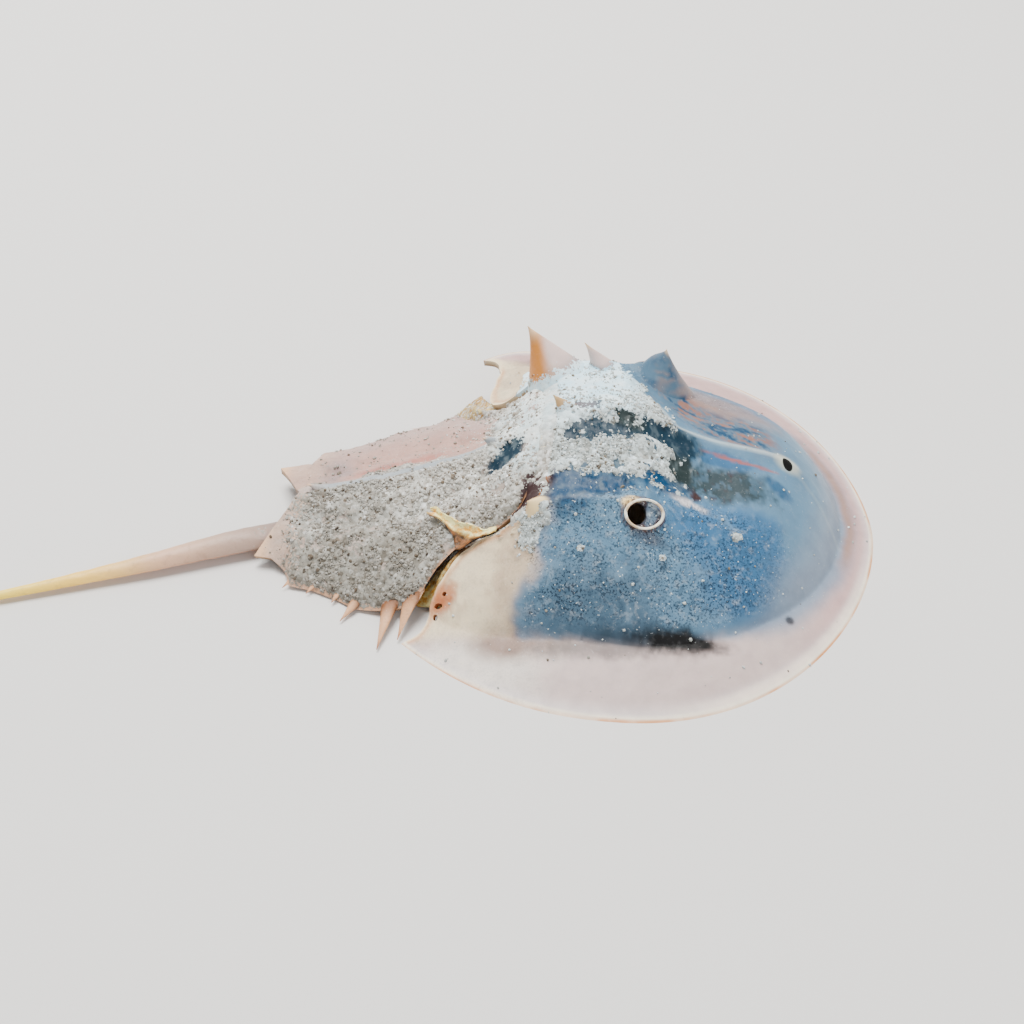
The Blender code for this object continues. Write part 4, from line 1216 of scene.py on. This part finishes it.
def make_membrane():
    """The dried skin between the plates, with the flap that tore free and curled up."""
    def place(across, along):
        back, side = off_rear_edge(across, SKIN_REACH, SKIN_START + SKIN_WIDTH * along)
        under_head = height_under(head_surface, back, side)
        under_abdomen = height_under(abdomen_surface, back, side - abdomen_middle(back))
        height = np.minimum(under_head, under_abdomen)
        spot = np.stack([back, side, 0 * back], -1)
        fold = sway(spot, 1.5, 111, 0.8)
        swell = 1.6 * bump(along - 0.6, 0.17) * fall(np.abs(across), 0.98, 0.1)
        return np.stack([TOTAL_LENGTH / 2 - back, side, height + fold * bump(along - 0.55, 0.3) + swell], -1)

    skin = sheet("hinge_skin", 200, 18, place)
    apply_modifier(skin, "SOLIDIFY", thickness=SKIN_THICKNESS * MM, offset=-1, use_rim=True)
    points = read_points(skin) / MM
    near_gap = smooth_step((-points[:, 1] - 17) / 3) * 0.75
    far_end = smooth_step((points[:, 1] - 15) / 4)
    worn = rise(lumps(points, 2.0, 113), 0.55, 0.2) * 0.3 + far_end * 0.4
    store(skin, "golden", np.maximum(near_gap * lumps(points, 1.5, 112) * 1.5, worn))
    store(skin, "crust", smooth_step((18.5 + points[:, 1]) / 1.5) * (0.9 - 0.42 * far_end))

    def lay_flap(across, along):
        centre = path_through(FLAP_LINE, along)
        ahead = path_through(FLAP_LINE, along + 0.01) - path_through(FLAP_LINE, along - 0.01)
        outward = quarter_turn(ahead)
        span = curve_through(FLAP_HALF_WIDTH, along)
        lower = np.where(across > 0, 1 + 2.6 * bump(along - 0.42, 0.13), 1)
        ragged = (lumps(np.stack([along * 9, across * 2, 0 * along], -1), 1.0, 117) - 0.5) * 1.1
        offset = across * span * lower + ragged * np.abs(across)
        back, side = centre[:, 0] + outward[:, 0] * offset, centre[:, 1] + outward[:, 1] * offset
        back = back - rise(along, 0.82, 0.18) * bump(across, 0.4) * 1.8
        lift = centre[:, 2] + 0.75 * across ** 2 * smooth_step(along / 0.3) + 0.35
        lift = lift - 1.1 * np.clip(across, 0, 1) * bump(along - 0.42, 0.2)
        ground = abdomen_surface(back, side - abdomen_middle(back))[:, 2]
        return np.stack([TOTAL_LENGTH / 2 - back, side, ground + lift], -1)

    flap = sheet("torn_flap", 26, 64, lay_flap)
    apply_modifier(flap, "SOLIDIFY", thickness=FLAP_THICKNESS * MM, offset=0, use_rim=True)
    points = read_points(flap) / MM
    backs, sides, _ = zip(*FLAP_LINE)
    trunk_side = np.interp(TOTAL_LENGTH / 2 - points[:, 0], backs, sides)
    # The flap's lower lobe is painted dark brown: the membrane's own brown, and painted shade beneath the
    # flap
    low = smooth_step((trunk_side - 0.15 - points[:, 1] + sway(points, 1.2, 119, 1.2)) / 0.8)
    store(flap, "golden", 1 - low * 0.95)
    store(flap, "crust", np.zeros(len(points)))
    skin = join([skin, flap], "hinge_skin")
    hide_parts("hinge_membrane")
    return finish(skin, dried_skin("dried_membrane"), 60)


def make_sand_bridge():
    """Sand that has caked over the joint, from the head shield's rear edge onto the abdomen."""
    def place(across, along):
        ragged = (unevenness(np.stack([across * 30, along, 0 * along], -1), 1.6, 131) - 0.5) * 1.2
        away = BRIDGE_START + BRIDGE_WIDTH * along + ragged * (2 * along - 1)
        back, side = off_rear_edge(across, BRIDGE_REACH, away)
        on_head = head_surface(back, side)[:, 2]
        on_abdomen = abdomen_surface(back, side - abdomen_middle(back))[:, 2]
        share = rise(along, 0.22, 0.5)
        spot = np.stack([back, side, 0 * back], -1)
        cake = 0.25 + 0.75 * (lumps(spot, 1.6, 133) - 0.35) - 1.1 * np.abs(2 * along - 1) ** 4
        height = on_head + (on_abdomen - on_head) * share + cake
        return np.stack([TOTAL_LENGTH / 2 - back, side, height], -1)

    bridge = sheet("hinge_sand", 170, 16, place)
    apply_modifier(bridge, "SOLIDIFY", thickness=BRIDGE_THICKNESS * MM, offset=-1, use_rim=True)
    points = read_points(bridge) / MM
    back = TOTAL_LENGTH / 2 - points[:, 0]
    worn = blot(back, points[:, 1], (57.6, -14.2), (2.6, 2.6), 0, 1.1, sway(points, 1.4, 139, 1.4))
    store(bridge, "tone", laid_on(np.tile(CREAM, (len(points), 1)), (worn + (points[:, 1] < -10), UMBER)))
    store(bridge, "crust", (0.55 + 0.6 * lumps(points, 2.0, 137)) * (1 - worn))
    store(bridge, "speckle", np.zeros(len(points)))
    store(bridge, "paste", smooth_step((points[:, 1] + 8) / 8) * 0.7)
    return finish(bridge, cuticle("hinge_sand", (0.93, 0.94, 0.93), 0.5), 60)


def make_tail():
    def place(x, y, share):
        middle = path_through(TAIL_PATH, share)
        ahead = path_through(TAIL_PATH, np.minimum(share + 0.01, 1)) - path_through(TAIL_PATH, share - 0.01)
        across = np.stack([ahead[:, 1], ahead[:, 0], 0 * share], -1)
        across = across / np.linalg.norm(across, axis=1, keepdims=True)
        half_width = curve_through(TAIL_HALF_WIDTH, share)
        keel = curve_through(TAIL_KEEL, share)
        up = np.where(y > 0, keel * np.abs(y) ** TAIL_KEEL_SHARPNESS, -0.75 * keel * np.abs(y))
        spot = np.stack([share * 75, x * 2, y * 2], -1)
        rough = sway(spot, 1.4, 121, 0.35) * np.clip(1.2 - share, 0.15, 1)
        height = np.maximum(middle[:, 2] + up + rough, 0)
        points = np.stack([TOTAL_LENGTH / 2 - middle[:, 0], middle[:, 1], height], -1)
        return points + across * (x * half_width * 0.99)[:, None]

    tail = rod("tail_cuticle", 40, 260, place)
    points = read_points(tail) / MM
    share = stored(tail, "share")
    store(tail, "crust", smooth_step((0.16 - share + sway(points, 3.0, 123, 0.2)) / 0.1) * 0.42)
    centre = path_through(TAIL_PATH, share)
    store(tail, "flank", smooth_step((centre[:, 2] - points[:, 2] - 0.15) / 0.5))
    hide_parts("tail_spine")
    return finish(tail, tail_finish("tail_cuticle"), 55)


def scatter_sand(name, carrier, count, seed, tint, sizes):
    """Thousands of sand grains stuck where the carrier's crust is, as one mesh."""
    random = np.random.default_rng(seed)
    points = read_points(carrier) / MM
    corners = np.array([list(face.vertices)[:4] for face in carrier.data.polygons if len(face.vertices) == 4])
    first, second, third, fourth = (points[corners[:, index]] for index in range(4))
    normal = np.cross(third - first, fourth - second)
    area = np.linalg.norm(normal, axis=1) / 2
    normal = normal / np.maximum(np.linalg.norm(normal, axis=1, keepdims=True), 1e-9)
    outer = stored(carrier, "outer")[corners].min(1)
    clumps = lumps(first, 2.6, seed + 1)
    smooth = stored(carrier, "paste")[corners].mean(1)
    crust = stored(carrier, "crust")[corners].mean(1)
    crowd = crust ** 2 * (0.3 + 1.4 * rise(clumps, 0.4, 0.2)) + STRAY_GRAINS
    chance = area * outer * (1 - 0.8 * smooth) * crowd
    picks = random.choice(len(corners), count, p=chance / chance.sum())
    weight = random.dirichlet([1, 1, 1, 1], count)
    centre = (points[corners[picks]] * weight[:, :, None]).sum(1)

    deselect()
    bpy.ops.mesh.primitive_ico_sphere_add(subdivisions=1, radius=1)
    grain = name_item(name)
    shape = read_points(grain)
    faces = np.array([list(face.vertices) for face in grain.data.polygons])
    low, high, large = sizes
    size = low + (high - low) * random.random(count) ** 2.6
    size = np.where(random.random(count) < large, size * 1.6, size)
    stretch = 0.7 + 0.6 * random.random((count, 1, 3))
    dents = 0.82 + 0.36 * random.random((count, len(shape), 1))
    turn = np.linalg.qr(random.normal(size=(count, 3, 3)))[0]
    turn = turn * np.sign(np.linalg.det(turn))[:, None, None]
    grains = np.einsum("nij,npj->npi", turn, shape[None] * stretch * dents) * size[:, None, None]
    grains = grains + (centre + normal[picks] * size[:, None] * 0.12)[:, None]
    grains[..., 2] = np.maximum(grains[..., 2], 0.02)
    mesh = bpy.data.meshes.new(name)
    step = np.arange(count)[:, None, None] * len(shape)
    mesh.from_pydata((grains.reshape(-1, 3) * MM).tolist(), [], (faces[None] + step).reshape(-1, 3).tolist())
    grain.data = mesh
    store(grain, "shade", np.repeat(random.random(count), len(shape)))
    # Each grain takes the painted shade stored on its carrier
    store(grain, "grime", np.repeat(stored(carrier, "grime")[corners[picks, 0]], len(shape)))
    return finish(grain, sand_grains(name, tint), 30)


def mark_outer(item, places):
    """Marks the points of the upper side, where sand can lie."""
    depth = places(read_points(item) / MM)[2]
    upper = (depth < 0.35) & (stored(item, "share") < 0.3) & (stored(item, "lip") == 0)
    store(item, "outer", upper.astype(float))


# The camera, the floor and the lights

def make_room():
    deselect()
    bpy.ops.mesh.primitive_plane_add(size=6, location=(0, 0, 0))
    floor = name_item("floor")
    graph = Graph("pale_floor")
    graph.shader.inputs["Base Color"].default_value = (0.72, 0.71, 0.69, 1)
    graph.shader.inputs["Roughness"].default_value = 0.9
    floor.data.materials.append(graph.material)

    lights = [("key", (-0.12, 0.22, 0.80), 0.5, 16.0, (1.0, 0.98, 0.95)),
              ("fill", (0.5, -0.6, 0.4), 0.9, 4.5, (0.95, 0.97, 1.0)),
              ("rear", (-0.3, 0.6, 0.5), 0.7, 4.0, (1.0, 0.99, 0.97))]
    for name, place, size, power, tint in lights:
        light = bpy.data.lights.new(name, "AREA")
        light.size = size
        light.energy = power
        light.color = tint
        lamp = bpy.data.objects.new(name, light)
        bpy.context.scene.collection.objects.link(lamp)
        lamp.location = place
        lamp.rotation_euler = (Vector((0.01, 0, 0.01)) - Vector(place)).to_track_quat("-Z", "Y").to_euler()
    world = bpy.data.worlds.new("soft_room")
    world.use_nodes = True
    world.node_tree.nodes["Background"].inputs["Color"].default_value = (0.94, 0.96, 1.0, 1)
    world.node_tree.nodes["Background"].inputs["Strength"].default_value = 0.38
    bpy.context.scene.world = world


def make_camera():
    view = bpy.data.cameras.new("camera")
    view.lens = CAMERA_LENS
    view.sensor_width = 36
    camera = bpy.data.objects.new("camera", view)
    bpy.context.scene.collection.objects.link(camera)
    steep, turn = math.radians(CAMERA_RISE), math.radians(CAMERA_TURN)
    away = Vector((math.sin(turn) * math.cos(steep), -math.cos(turn) * math.cos(steep), math.sin(steep)))
    camera.location = Vector(CAMERA_TARGET) + away * CAMERA_DISTANCE
    camera.rotation_euler = away.to_track_quat("Z", "Y").to_euler()
    view.clip_start = 0.01
    bpy.context.scene.camera = camera


make_camera()
make_room()
head_piece = make_head_shield()
abdomen_piece = make_abdomen_shield()
make_membrane()
make_sand_bridge()
make_tail()
mark_outer(head_piece, head_places)
mark_outer(abdomen_piece, abdomen_places)
scatter_sand("head_sand", head_piece, count=2600, seed=201, tint=(0.87, 0.97, 1.02),
             sizes=(0.10, 0.30, 0.04))
scatter_sand("abdomen_sand", abdomen_piece, count=4200, seed=205, tint=(0.88, 0.87, 0.85),
             sizes=(0.12, 0.34, 0.05))
